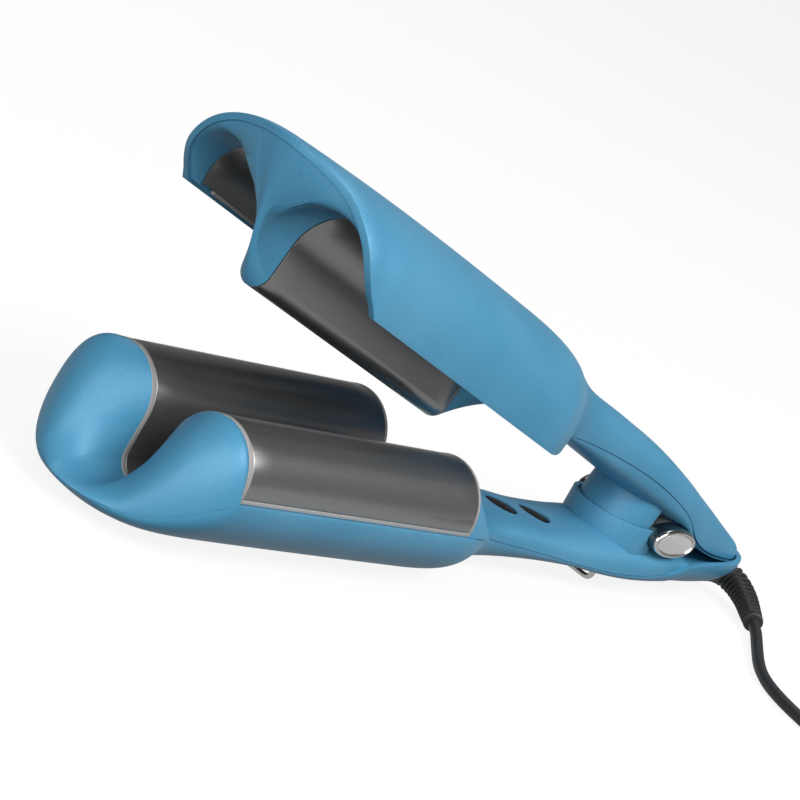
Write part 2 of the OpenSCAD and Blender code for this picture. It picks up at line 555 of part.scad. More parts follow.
// ---- Cord
relief_z = 8.8;
relief_route = [[tail_x - 9, 0, relief_z], [tail_x - 3, -0.5, relief_z], [tail_x + 0.9, -3.2, relief_z - 0.4],
  [tail_x + 1.5, -9, relief_z - 1.4], [tail_x - 1.2, -16, relief_z - 3], [tail_x - 6, -22.5, relief_z - 4.5],
  [tail_x - 12, -28.6, relief_z - 5.2]];
module strain_relief() {
  path = curve(relief_route, 4);
  n = len(path);
  color(rubber_black) swept(path, [for (i = [0:n - 1]) lerp(relief_r, relief_tip_r, i / (n - 1))], 16);
}
lead_y = 1.9;
lead_z = relief_z + 1.1;
module cord_clamp() color(nylon_grey) difference() {
  box([tail_x - 18, -4.2, lead_z - 1.5], [tail_x - 15.5, 4.2, lead_z + 1.3]);
  for (y = [-lead_y, lead_y])
    translate([tail_x - 19, y, lead_z]) rotate([0, 90, 0]) cylinder(r = lead_r + 0.06, h = 5);
}
module mains_leads() color("saddlebrown")
  for (y = [-lead_y, lead_y]) swept(
    curve([[tail_x - 9.4, y, lead_z], [tail_x - 14, y, lead_z], [tail_x - 20, y, lead_z],
      [hinge_x + 16, 1.6 * y, 9.2], [hinge_x - 3, 1.6 * y, 11.1], [cup_front_x + 10, 1.6 * y, 11.6],
      [board_x + board_len - 2, 1.6 * y, 13.5]], 4),
    same(lead_r, 25), 6);

cord_r = cord_d / 2;
floor_cord_z = 2.1;
cord_route = [[249.6, -29, 3.5], [243.5, -34.6, 3], [235, -41, 2.6], [226.6, -47.2, 2.3],
  [218.4, -53.4, floor_cord_z], [210.6, -60, floor_cord_z], [203.5, -68, floor_cord_z],
  [198, -78, floor_cord_z], [194.4, -89, floor_cord_z], [192.6, -98, floor_cord_z],
  [192.1, -107.1, floor_cord_z]];
coil_x = 220;
coil_y = -128;
coil_r = 26.75;
coil_columns = 3;
coil_rows = 4;
coil_half_w = coil_columns * cord_d / 2;
coil_h = cord_d * (1 + (coil_rows - 1) * 0.87);
// The free end leaves the coil's top along its tangent, drops to the floor and bends towards the plug
leave_turn = 48;
leave_r = coil_r + cord_d / 2;
leave_x = coil_x + leave_r * sin(leave_turn);
leave_y = coil_y - leave_r * cos(leave_turn);
tail_straight = 19;
tail_bend_r = 40;
plug_turn = 80;
tail_len = tail_straight + tail_bend_r * (plug_turn - leave_turn) * PI / 180;
function tail_point(l) =
  let(a = leave_turn + max(0, l - tail_straight) / tail_bend_r * 180 / PI, d = min(l, tail_straight))
    [leave_x + d * cos(leave_turn) + tail_bend_r * (sin(a) - sin(leave_turn)),
      leave_y + d * sin(leave_turn) - tail_bend_r * (cos(a) - cos(leave_turn))];
tail_heights = [[22.5, 9.8], [25, 8.4], [30, 6.2], [35, 4.7], [tail_len - 0.3, 4]];
tail_route = [for (k = tail_heights) let(p = tail_point(k[0])) [p[0], p[1], k[1]]];
module power_cord() color(rubber_black) {
  swept(curve(cord_route, 4), same(cord_r, 4 * (len(cord_route) - 1) + 1), 8);
  swept(curve(tail_route, 4), same(cord_r, 4 * (len(tail_route) - 1) + 1), 8);
}
module cord_coil() color(rubber_black) translate([coil_x, coil_y, 0.05]) rotate_extrude($fn = 64)
  translate([coil_r - coil_half_w, 0]) square([2 * coil_half_w, coil_h]);
tie_t = 1.2;
module cord_tie() color("dimgray") translate([coil_x + coil_r, coil_y, 0]) difference() {
  box([-coil_half_w - tie_t - 0.5, -4, 0.05], [coil_half_w + tie_t, 4, coil_h + tie_t]);
  box([-coil_half_w - 0.5, -5, -1], [coil_half_w + 0.05, 5, coil_h + 0.1]);
}
module at_plug() {
  plug_at = tail_point(tail_len);
  translate([plug_at[0], plug_at[1], 0]) rotate(plug_turn) children();
}
module plug_body() color(rubber_black) at_plug() hull() {
  translate([0, 0, 4]) rotate([0, 90, 0]) cylinder(r = 3.6, h = 1);
  translate([16, -9, 0.1]) cube([1, 18, 12]);
  translate([36, -10, 0.1]) cube([1, 20, 14]);
}
module plug_pins() color(chrome) at_plug()
  for (y = [-6.35, 6.35]) box([37, y - 0.75, 4], [54, y + 0.75, 10.4]);

// ---- Upper arm, drawn closed and then opened
rim_keys = [[0, front_x + 1], [0.06, front_x - 7], [0.19, front_x - 11.5], [0.4, front_x - 15.5],
  [0.6, front_x - 18], [0.8, front_x - 21.5], [1, front_x - 24]];
upper_rear_x = tail_x - 2.6;
upper_stations = concat([0, 0.012, 0.03, 0.06, 0.1, 0.16, 0.24, 0.32, 0.365],
  [for (i = [0:12]) 0.385 + i * 0.02], [for (i = [1:8]) 0.625 + i * 0.038],
  [0.955, 0.972, 0.984, 0.992, 0.997, 1]);
function upper_outline(u, w) = [for (i = [0:section_steps]) let(
    s = 2 * i / section_steps - 1,
    x = lerp(track(rim_keys, 1 - abs(s)), upper_rear_x - w, u))
  arch(x, max(1, upper_w(x) - w), upper_seam_z(x), upper_top_z(x) - w, 2.6, s)];
module upper_outer_shell() color(blue) opened() shell(
  [for (u = upper_stations) upper_outline(u, 0)],
  [for (u = upper_stations) upper_outline(u, shell_wall)]);

upper_off = plate_clearance;
rake = 0.5;
visor_bow = 1.7;
function rake_x(q) = front_x + rake * max(0, crest_z - q[1]) * (abs(q[0]) > barrel_pitch / 2 ? 1 : 0);
function visor_grid(w) = [for (i = [0:nose_steps]) let(t = 90 * i / nose_steps)
  [for (j = [0:len(wave_path) - 1]) let(
    s = wave_share[j],
    q = wave(upper_off + w, rest_z)[j],
    rim_s = sign(s) * pow(abs(s), 0.8),
    x = track(rim_keys, 1 - abs(rim_s)) + 0.5 + w * 1.6,
    inset = shell_wall + 4 * parting_gap,
    side_z = upper_seam_z(x) + rest_z - lip_z,
    p = arch(x, upper_w(x) - inset, side_z, upper_top_z(x) - inset, 2.6, rim_s * 0.999),
    f = 1 - pow(cos(t), visor_bow),
    g = pow(sin(t), visor_bow))
    [lerp(rake_x(q) - nose_gap, p[0], g), lerp(q[0], p[1], f), lerp(q[1], p[2], f)]]];
module upper_nose_cap() color(blue) opened() shell(visor_grid(visor_wall), visor_grid(0));

upper_mid_keys = [
  [rear_x + 30, 27.4], [rear_x + 60, upper_face_z + 0.6], [hinge_x - 30, upper_face_z],
  [hinge_x + 10, upper_face_z], [hinge_x + 30, 25.6], [tail_x - 12, 27.6], [tail_x - 5, 29.8]
];
upper_cover_stations = concat(
  [for (x = [0, 1.2, 3, 5.5, 9, 13, 18, 24, 31, 40, 55, 70]) rear_x + parting_gap + x],
  [for (i = [1:6]) lerp(rear_x + 70, hinge_x + 10, i / 6)],
  [for (x = [18, 27, 36]) hinge_x + x],
  [for (x = [20, 13, 8.5, 5.5, 3.6]) tail_x - x]
);
function upper_cover_section(x) = let(
    f = fall(rear_x, rear_x + 36, x),
    inset = shell_wall + parting_gap + 2.8 * (1 - smooth(rear_x + 20, rear_x + 40, x)),
    half_w = upper_w(x) - inset * (1 - smooth(rear_x + 40, rear_x + 55, x)),
    side_z = upper_seam_z(x) - 2 * parting_gap + 1.7 * (1 - smooth(rear_x + 24, rear_x + 31, x))
      - 0.5 * smooth(hinge_x + 4, hinge_x + 14, x),
    round = 3)
  [for (j = [0:len(wave_path) - 1]) let(
    q = wave(upper_off, rest_z + 0.3)[j],
    s = wave_share[j],
    p = arch(x, half_w, side_z, track(upper_mid_keys, x), round, s * 0.999))
    [x, lerp(q[0], p[1], f), lerp(q[1], p[2], f)]];
module upper_handle_cover() {
  grid = [for (x = upper_cover_stations) upper_cover_section(x)];
  color(blue) opened() difference() {
    shell([for (row = grid) upper_lining(row)], grid);
    box([rear_x - 5, -60, 0], [rear_x + parting_gap / 2, 60, 60]);
    translate([0, 0, 10]) linear_extrude(40) polygon(boss_outline(-0.2));
    box([hinge_x - knuckle_r - 1, -knuckle_half_w - 0.3, 10],
      [hinge_x + knuckle_r + 1, knuckle_half_w + 0.3, 50]);
    for (s = [-1, 1], turn = [0, open_angle / 2, open_angle])
      oval_y(-0.7, s < 0 ? -30 : cap_in - 4.2, s < 0 ? -cap_in + 4.2 : 30, turn);
  }
}

module upper_heat_plate() color(plate_grey) opened() difference() {
  along_x(front_x + 0.6, rear_x - 1) polygon(wave_band(upper_off + plate_t, upper_off, rest_z + 1.1));
  for (s = [-1, 1]) mirror([0, s < 0 ? 1 : 0, 0])
    translate([front_x + 0.4, barrel_pitch / 2, crest_z]) rotate([0, atan(1 / rake) - 90, 0])
      box([-60, 0.001, -60], [0, 40, 20]);
}
module upper_plate_trim() color(trim_grey) opened() {
  along_x(rear_x - 0.95, rear_x) polygon(wave_band(upper_off + plate_t + 0.2, upper_off, rest_z));
  for (s = [-1, 1])
    along_x(front_x + 12, rear_x - 0.94)
      translate([s * (wave_half_w + upper_off + plate_t / 2), rest_z + 0.5]) square([plate_t, 1], true);
}
upper_tray_z = crest_z + upper_off + plate_t;
module upper_plate_carrier() color(nylon_grey) opened() {
  box([-carrier_len / 2, -21, upper_tray_z + 0.1], [carrier_len / 2, 21, upper_tray_z + 2.1]);
  for (x = [-1, 0, 1] * carrier_len * 0.38)
    box([x - 4, -2.2, valley_z + 6.5], [x + 4, 2.2, upper_tray_z + 0.2]);
}
ridge_r = valley_r - upper_off - plate_t;
module upper_heaters() color(copper_red) opened() translate([0, 0, valley_z])
  along_x(-heater_len / 2, heater_len / 2) union() {
    circle(ridge_r - heater_gap);
    translate([-ridge_r + heater_gap + 0.2, 0]) square([2 * (ridge_r - heater_gap - 0.2), 5]);
  }
module upper_heater_springs() color(chrome) opened()
  box([-heater_len / 2, -2, valley_z + 5.2], [heater_len / 2, 2, valley_z + 6]);
module upper_thermal_fuse() color("ivory") opened()
  translate([-25, 7, upper_tray_z + 2.2 + fuse_r]) rotate([0, 90, 0]) cylinder(r = fuse_r, h = 14);
upper_lead_route = [[heater_len / 2 - 2, 3, upper_tray_z + 3.2], [rear_x + 10, 3, upper_tray_z + 2.2],
  [rear_x + 45, 3, 38.5], [rear_x + 80, 3, 38], [hinge_x - 36, 3, 36], [hinge_x - 22, 3, 34.4]];
module upper_heater_leads() color("firebrick") opened()
  for (s = [-1, 1], k = [0, 1]) swept(
    curve([for (p = upper_lead_route) [p[0], s * (p[1] + 2.4 * k), p[2]]], 4), same(lead_r, 21), 6);

function boss_outline(inset) = cup_outline(cup_wall + cup_gap + inset);
module upper_spring_boss() color(blue) opened() difference() {
  translate([0, 0, cup_rim_z - 7])
    linear_extrude(upper_face_z + 3.4 - cup_rim_z + 7) polygon(boss_outline(0));
  linear_extrude(upper_face_z + 1.8) polygon(boss_outline(cup_wall));
}
module upper_hinge_frame() color(nylon_grey) opened() difference() {
  union() {
    box([hinge_x - 8, -knuckle_half_w, upper_face_z + 2.4],
      [hinge_x + 16, knuckle_half_w, upper_face_z + 4.6]);
    pin_y(hinge_x, hinge_z, knuckle_r, -knuckle_half_w, knuckle_half_w);
    box([hinge_x - knuckle_r + 0.6, -knuckle_half_w, hinge_z],
      [hinge_x + knuckle_r - 0.6, knuckle_half_w, upper_face_z + 3]);
  }
  pin_y(hinge_x, hinge_z, pin_r + pin_clearance + bush_wall, -30, 30);
  for (y = [-5, 5]) screw_hole(hinge_x + 12, y, upper_face_z + 4.6);
}
module hinge_bush() color([0.75, 0.6, 0.35]) difference() {
  pin_y(hinge_x, hinge_z, pin_r + pin_clearance + bush_wall, -knuckle_half_w, knuckle_half_w);
  pin_y(hinge_x, hinge_z, pin_r + pin_clearance, -30, 30);
}
module upper_screws() color(chrome) opened()
  for (y = [-5, 5]) screw(hinge_x + 12, y, upper_face_z + 4.6, 2.1);

lower_outer_shell();
lower_nose_cap();
lower_handle_cover();
lower_heat_plate();
lower_plate_trim();
lower_plate_carrier();
lower_heaters();
lower_heater_springs();
lower_thermal_fuse();
lower_heater_leads();
control_board();
board_standoffs();
tact_switches();
power_button();
heat_button();
lower_spring_cup();
return_spring();
lower_hinge_frame();
hinge_pin();
hinge_cap_near();
hinge_cap_far();
hinge_disc_near();
hinge_disc_far();
lower_screws();
stand_tray();
wire_stand();
strain_relief();
cord_clamp();
mains_leads();
power_cord();
cord_coil();
cord_tie();
plug_body();
plug_pins();
upper_outer_shell();
upper_nose_cap();
upper_handle_cover();
upper_heat_plate();
upper_plate_trim();
upper_plate_carrier();
upper_heaters();
upper_heater_springs();
upper_thermal_fuse();
upper_heater_leads();
upper_spring_boss();
upper_hinge_frame();
hinge_bush();
upper_screws();
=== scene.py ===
import bpy, bmesh
import numpy as np
from math import acos, atan, atan2, copysign, cos, degrees, dist, hypot, pi, radians, sin, sqrt
from mathutils import Matrix, Vector


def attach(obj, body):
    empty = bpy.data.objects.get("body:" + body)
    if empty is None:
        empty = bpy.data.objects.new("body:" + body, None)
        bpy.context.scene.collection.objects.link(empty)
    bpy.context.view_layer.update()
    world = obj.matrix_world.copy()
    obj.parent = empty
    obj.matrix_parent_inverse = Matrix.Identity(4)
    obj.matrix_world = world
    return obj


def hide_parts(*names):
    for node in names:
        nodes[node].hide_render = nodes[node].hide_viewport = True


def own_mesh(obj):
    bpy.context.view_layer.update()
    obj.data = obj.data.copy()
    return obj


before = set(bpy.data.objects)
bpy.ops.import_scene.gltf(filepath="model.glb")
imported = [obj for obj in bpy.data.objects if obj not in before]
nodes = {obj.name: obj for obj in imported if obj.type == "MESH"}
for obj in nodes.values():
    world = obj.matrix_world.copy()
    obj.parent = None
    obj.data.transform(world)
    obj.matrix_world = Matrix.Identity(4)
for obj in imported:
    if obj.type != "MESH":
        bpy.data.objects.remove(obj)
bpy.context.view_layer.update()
print("frame loaded:", len(nodes), "nodes")

# Sizes are millimetres in the part's own frame, and become metres when a mesh is made
metre = 0.001


# arithmetic and curves
def lerp(a, b, t):
    return a + (b - a) * t


def smooth(a, b, x):
    t = max(0, min(1, (x - a) / (b - a)))
    return t * t * (3 - 2 * t)


def fall(a, b, x):
    return 1 - (1 - max(0, min(1, (x - a) / (b - a)))) ** 3


def keyed(keys, x):  # smooth curve through [position, value] pairs
    if x <= keys[0][0]:
        return keys[0][1]
    if x >= keys[-1][0]:
        return keys[-1][1]
    i = next(k for k in range(len(keys) - 1) if x <= keys[k + 1][0])

    def slope(k):
        if k in (0, len(keys) - 1):
            return 0
        return (keys[k + 1][1] - keys[k - 1][1]) / (keys[k + 1][0] - keys[k - 1][0])

    h = keys[i + 1][0] - keys[i][0]
    t = (x - keys[i][0]) / h
    return ((2 * t**3 - 3 * t**2 + 1) * keys[i][1] + (t**3 - 2 * t**2 + t) * slope(i) * h
            + (3 * t**2 - 2 * t**3) * keys[i + 1][1] + (t**3 - t**2) * slope(i + 1) * h)


def arch(halfWidth, sideZ, midZ, roundness, share):  # a rounded box edge between two sides
    a = pi / 2 * share
    y = copysign(abs(sin(a)) ** (2 / roundness), share) * halfWidth
    return y, sideZ + (midZ - sideZ) * max(0, cos(a)) ** (2 / roundness)


def refine(stations, parts):  # more stations between the given ones
    line = [lerp(a, b, k / parts) for a, b in zip(stations, stations[1:]) for k in range(parts)]
    return line + [stations[-1]]


def spread(a, b, parts):  # even stations after a, up to b
    return [lerp(a, b, i / parts) for i in range(1, parts + 1)]


def throughPoints(route, steps):  # smooth curve through a route's points
    p = [np.array(q, float) for q in route]
    line = []
    for i in range(len(p) - 1):
        a, b, c, d = p[max(i - 1, 0)], p[i], p[i + 1], p[min(i + 2, len(p) - 1)]
        for s in range(steps):
            t = s / steps
            line.append(0.5 * (2 * b + (c - a) * t + (2 * a - 5 * b + 4 * c - d) * t**2
                               + (3 * b - a - 3 * c + d) * t**3))
    return line + [p[-1]]


def circle(sides):  # cosine and sine, evenly over a full turn
    return [(cos(t), sin(t)) for t in np.arange(sides) * 2 * pi / sides]


# objects and their meshes
def placed(name, data):  # a new object in the scene
    item = bpy.data.objects.new(name, data)
    bpy.context.scene.collection.objects.link(item)
    return item


def meshOf(name, points, edges, faces):  # points in millimetres
    mesh = bpy.data.meshes.new(name)
    mesh.from_pydata([tuple(float(c) * metre for c in p) for p in points], edges, faces)
    return mesh


def discard(piece):
    mesh = piece.data
    bpy.data.objects.remove(piece)
    bpy.data.meshes.remove(mesh)


def moved(piece, place, turn, axis):  # turned by degrees about the origin, then put in its place
    put = Matrix.Translation(Vector(place) * metre)
    piece.data.transform(put @ Matrix.Rotation(radians(turn), 4, axis))
    return piece


# camera
view = {"lens": 160.82, "sensor": 36, "near": 0.05, "far": 30, "place": (-795.33, -552.38, 267.75),
        "right": (0.56883, -0.6699, 0.47715), "down": (0.11209, -0.51159, -0.85189),
        "ahead": (0.81478, 0.53806, -0.21591)}


def placeCamera():
    data = bpy.data.cameras.new("camera")
    data.lens, data.sensor_width = view["lens"], view["sensor"]
    data.clip_start, data.clip_end = view["near"], view["far"]
    camera = placed("camera", data)
    axes = [Vector(view["right"]), -Vector(view["down"]), -Vector(view["ahead"])]
    turn = Matrix([[a[k] for a in axes] for k in range(3)]).to_4x4()
    camera.matrix_world = Matrix.Translation(Vector(view["place"]) * metre) @ turn
    bpy.context.scene.camera = camera


placeCamera()
print("camera placed")


# node trees: shader and size arithmetic
class Signal:  # a socket that takes part in sums
    def __init__(self, wiring, socket):
        self.wiring, self.socket = wiring, socket

    def sum(self, operation, *terms):
        return self.wiring.add("ShaderNodeMath", {"operation": operation}, dict(enumerate(terms)))

    def __add__(self, other):
        return self.sum("ADD", self, other)

    def __rsub__(self, other):
        return self.sum("SUBTRACT", other, self)

    def __mul__(self, other):
        return self.sum("MULTIPLY", self, other)

    __radd__, __rmul__ = __add__, __mul__


class Wiring:  # puts nodes into a tree and feeds their sockets
    def __init__(self, tree):
        self.tree = tree

    def feed(self, socket, value):
        if isinstance(value, Signal):
            self.tree.links.new(value.socket, socket)
        elif socket.type == "RGBA" and len(value) == 3:
            socket.default_value = (*value, 1)
        else:
            socket.default_value = value

    def add(self, kind, settings=None, sockets=None, out=0):
        node = self.tree.nodes.new(kind)
        for name, value in (settings or {}).items():
            if name == "stops":
                for k, (at, colour) in enumerate(value):
                    stops = node.color_ramp.elements
                    stop = stops[k] if k < 2 else stops.new(at)
                    stop.position, stop.color = at, (*colour, 1)
            else:
                setattr(node, name, value)
        for name, value in (sockets or {}).items():
            self.feed(node.inputs[name], value)
        return Signal(self, node.outputs[out])

    def between(self, share, low, high):
        return self.add("ShaderNodeMix", {"data_type": "RGBA"}, {0: share, 6: low, 7: high}, 2)

    def ramp(self, share, stops):
        return self.add("ShaderNodeValToRGB", {"stops": stops}, {0: share})


class Look(Wiring):  # a material with one Principled shader
    def __init__(self, name, **fixed):
        self.material = bpy.data.materials.new(name)
        self.material.use_nodes = True
        super().__init__(self.material.node_tree)
        self.shader = self.tree.nodes["Principled BSDF"]
        for socket, value in fixed.items():
            self.set(socket.replace("_", " "), value)
        self.place = self.add("ShaderNodeTexCoord", out="Object")

    def set(self, socket, value):
        self.feed(self.shader.inputs[socket], value)

    def speckle(self, scale, detail=2, rough=0.5, stretch=None):
        at = self.place
        if stretch:
            at = self.add("ShaderNodeMapping", {}, {"Vector": at, "Scale": stretch})
        return self.add("ShaderNodeTexNoise", {}, {
            "Vector": at, "Scale": scale, "Detail": detail, "Roughness": rough})

    def finish(self, tone, rough, height, strength, depth=0.0001):
        self.set("Base Color", tone)
        self.set("Roughness", rough)
        self.set("Normal", self.add("ShaderNodeBump", {}, {
            "Height": height, "Strength": strength, "Distance": depth}))
        return self.material


def pearlPaint():
    look = Look("pearlPaint", Metallic=0.1, Specular_IOR_Level=0.35, Coat_Weight=0.15, Coat_Roughness=0.4)
    flake, cloud = look.speckle(2600, 3, 0.6), look.speckle(22, 2)
    tones = [(0.32, (0.04, 0.225, 0.385)), (0.68, (0.1, 0.315, 0.49))]
    tone = look.ramp(flake * 0.5 + cloud * 0.5, tones)
    return look.finish(tone, 0.4 + flake * 0.1 + cloud * 0.05, look.speckle(900, 1), 0.05)


def plateGlaze():
    look = Look("plateGlaze", Coat_Weight=0.2, Coat_Roughness=0.1)
    drawn, cloud = look.speckle(1, 3, 0.5, (8, 2200, 2200)), look.speckle(30, 3)
    look.set("Metallic", 0.8 + cloud * 0.15)
    tone = look.between(drawn * 0.45 + cloud * 0.55, (0.24, 0.239, 0.238), (0.34, 0.339, 0.337))
    return look.finish(tone, 0.25 + drawn * 0.07 + cloud * 0.04, drawn, 0.03)


# grain is scale, detail, roughness and stretch; rough is least and gain; cloud is share, scale and detail
def grained(name, grain, low, high, rough, bump, cloud=None, **fixed):
    look = Look(name, **fixed)
    fine = tone = look.speckle(*grain)
    if cloud:
        tone = fine * (1 - cloud[0]) + look.speckle(*cloud[1:]) * cloud[0]
    return look.finish(look.between(tone, low, high), rough[0] + fine * rough[1], fine, bump)


def polishedMetal(name, colour, rough, scale):
    dark = tuple(0.93 * c for c in colour)
    return grained(name, (scale, 4, 0.65), dark, colour, (rough * 0.8, rough * 0.4), 0.012, Metallic=1.0)


def softRubber(name, low, high, rough):
    return grained(name, (2200, 3, 0.6), low, high, (rough, 0.12), 0.25, (0.5, 90, 3))


def mouldedPlastic(name, low, high, rough):
    return grained(name, (1400, 3, 0.55), low, high, (rough - 0.06, 0.12), 0.2, (0.4, 60, 2))


def wovenStrap():
    look = Look("wovenStrap")
    warp, weft = (
        look.add("ShaderNodeTexWave", {"bands_direction": way}, {"Vector": look.place, "Scale": size})
        for way, size in (("Y", 420.0), ("DIAGONAL", 300.0)))
    weave = warp.sum("MAXIMUM", warp, weft)
    tone = look.between(weave, (0.012, 0.012, 0.013), (0.05, 0.05, 0.053))
    return look.finish(tone, 0.65 + weave * 0.2, weave, 0.6, 0.0002)


def circuitLacquer():
    look = Look("circuitLacquer")
    look.set("Base Color", look.add("ShaderNodeTexBrick", {}, {
        "Vector": look.place, "Scale": 260.0, "Color1": (0.01, 0.09, 0.035), "Color2": (0.012, 0.12, 0.045),
        "Mortar": (0.05, 0.2, 0.09), "Mortar Size": 0.03}))
    look.set("Roughness", 0.3 + look.speckle(900) * 0.15)
    return look.material


looks = {
    "pearl": pearlPaint(), "glaze": plateGlaze(), "strap": wovenStrap(), "circuit": circuitLacquer(),
    "trim": grained("trimPlastic", (1600, 3), (0.24, 0.235, 0.23), (0.36, 0.353, 0.345), (0.38, 0.16), 0.15),
    "disc": grained("brushedDisc", (1, 3, 0.6, (120, 2500, 2500)), (0.86, 0.86, 0.85), (0.96, 0.96, 0.95),
                    (0.36, 0.16), 0.08, Metallic=0.9),
    "button": grained("blackGloss", (1200, 2), (0.003, 0.003, 0.004), (0.008, 0.008, 0.009),
                      (0.16, 0.08), 0.03, Specular_IOR_Level=0.04),
    "chrome": polishedMetal("chromePlate", (0.74, 0.735, 0.72), 0.12, 120),
    # a darker copy of the chrome: painted shade for the side of the hinge caps
    "darkChrome": polishedMetal("darkChrome", (0.2, 0.195, 0.19), 0.24, 90),
    "steel": polishedMetal("steelWire", (0.66, 0.66, 0.66), 0.2, 1500),
    "brass": polishedMetal("bushBrass", (0.62, 0.43, 0.16), 0.25, 900),
    "pinMetal": polishedMetal("plugPinMetal", (0.72, 0.64, 0.45), 0.18, 700),
    "heater": polishedMetal("heaterBlock", (0.55, 0.55, 0.56), 0.4, 1200),
    "relief": softRubber("reliefRubber", (0.01, 0.01, 0.011), (0.022, 0.022, 0.023), 0.5),
    "cord": softRubber("cordRubber", (0.009, 0.009, 0.01), (0.02, 0.02, 0.021), 0.45),
    "nylon": mouldedPlastic("carrierNylon", (0.075, 0.08, 0.088), (0.12, 0.125, 0.135), 0.5),
    "lead": mouldedPlastic("leadSleeve", (0.24, 0.02, 0.014), (0.34, 0.035, 0.025), 0.4),
    "brownLead": mouldedPlastic("mainsSleeve", (0.09, 0.03, 0.012), (0.14, 0.05, 0.02), 0.4),
    "ivory": mouldedPlastic("fuseCase", (0.6, 0.58, 0.46), (0.74, 0.71, 0.58), 0.45),
    "switch": mouldedPlastic("switchCase", (0.02, 0.02, 0.02), (0.04, 0.04, 0.042), 0.5),
}
print("materials ready:", len(looks))


# meshes
def insideOut(points, faces):  # whether a closed mesh encloses a negative volume
    p = np.array([tuple(q) for q in points], float)
    corners = np.array([(f[0], f[k], f[k + 1]) for f in faces for k in range(1, len(f) - 1)])
    a, b, c = (p[corners[:, k]] for k in range(3))
    return float((a * np.cross(b, c)).sum()) < 0


def objectOf(name, points, faces, look, body="lower_arm", sharp=35):
    if insideOut(points, faces):
        faces = [f[::-1] for f in faces]
    mesh = meshOf(name, points, [], faces)
    mesh.validate()
    mesh.materials.append(looks[look])
    piece = placed(name, mesh)
    soften(piece, sharp)
    piece["body"] = body
    return piece


def soften(piece, sharp=35):  # smooth shading with edges kept where the surface turns
    for face in piece.data.polygons:
        face.use_smooth = True
    piece.data.set_sharp_from_angle(angle=radians(sharp))


def solved(piece):  # the plain mesh that the modifiers make
    graph = bpy.context.evaluated_depsgraph_get()
    return bpy.data.meshes.new_from_object(piece.evaluated_get(graph))


def settle(piece):  # modifiers become the piece's own mesh
    old, piece.data = piece.data, solved(piece)
    piece.modifiers.clear()
    bpy.data.meshes.remove(old)
    soften(piece)
    return piece


def rounded(piece, width, segments=3):
    bevel = piece.modifiers.new("bevel", "BEVEL")
    bevel.width, bevel.segments = width * metre, segments
    bevel.limit_method, bevel.angle_limit = "ANGLE", radians(50)
    bevel.use_clamp_overlap = True
    return settle(piece)


def weld(piece):  # closes the hairline cracks that a cut can leave
    shape = bmesh.new()
    shape.from_mesh(piece.data)
    bmesh.ops.holes_fill(shape, edges=[e for e in shape.edges if e.is_boundary], sides=0)
    shape.to_mesh(piece.data)
    shape.free()
    soften(piece)
    return piece


def cutBy(piece, cutters):
    for cutter in cutters:
        hole = piece.modifiers.new("cut", "BOOLEAN")
        hole.operation, hole.solver, hole.object = "DIFFERENCE", "EXACT", cutter
        settle(piece)
        discard(cutter)
    return weld(piece)


def skin(name, outer, inner, look, body="lower_arm"):  # a thin shell between two grids of points
    rows, n = len(outer), len(outer[0])
    c = rows * n
    faces = []
    for i in range(rows - 1):
        for a in range(i * n, i * n + n - 1):
            faces += [(a, a + n, a + n + 1, a + 1), (c + a, c + a + 1, c + a + n + 1, c + a + n)]
        a, b = i * n, i * n + n
        faces += [(a, a + c, b + c, b), (a + n - 1, b + n - 1, b + n - 1 + c, a + n - 1 + c)]
    for a in range(n - 1):
        b = (rows - 1) * n + a
        faces += [(a, a + 1, a + 1 + c, a + c), (b, b + c, b + 1 + c, b + 1)]
    return objectOf(name, [p for grid in (outer, inner) for row in grid for p in row], faces, look, body)


def loft(name, rings, look, body="lower_arm", sharp=35):  # closed rings joined and capped
    n = len(rings[0])
    points = [p for ring in rings for p in ring]
    faces = [(i * n + j, i * n + (j + 1) % n, (i + 1) * n + (j + 1) % n, (i + 1) * n + j)
             for i in range(len(rings) - 1) for j in range(n)]
    faces.append(tuple(range(n - 1, -1, -1)))
    faces.append(tuple((len(rings) - 1) * n + j for j in range(n)))
    return objectOf(name, points, faces, look, body, sharp)


def tube(name, line, radii, sides, look, body="lower_arm"):  # round rod along a line
    line = [np.array(p, float) for p in line]
    rings, across = [], None
    for i, (p, radius) in enumerate(zip(line, radii)):
        ahead = line[min(i + 1, len(line) - 1)] - line[max(i - 1, 0)]
        ahead /= np.linalg.norm(ahead)
        if across is None:
            across = np.cross(ahead, (0, 0, 1) if abs(ahead[2]) < 0.9 else (1, 0, 0))
        across = across - ahead * (across @ ahead)
        across /= np.linalg.norm(across)
        up = np.cross(ahead, across)
        rings.append([p + radius * (across * c + up * s) for c, s in circle(sides)])
    return loft(name, rings, look, body)


def block(low, high):  # a plain cutter
    (x0, y0, z0), (x1, y1, z1) = low, high
    return loft("cutter", [[(x, y0, z0), (x, y1, z0), (x, y1, z1), (x, y0, z1)] for x in (x0, x1)], "nylon")


# an outline raised along an axis, as a cutter or a blank
def prism(shape, low, high, axis=2, name="cutter", look="nylon", body="lower_arm"):
    rings = [[(*p, level) if axis == 2 else (p[0], level, p[1]) for p in shape] for level in (low, high)]
    return loft(name, rings, look, body)


def disc(x, y, radius):
    return [(x + radius * c, y + radius * s) for c, s in circle(64)]


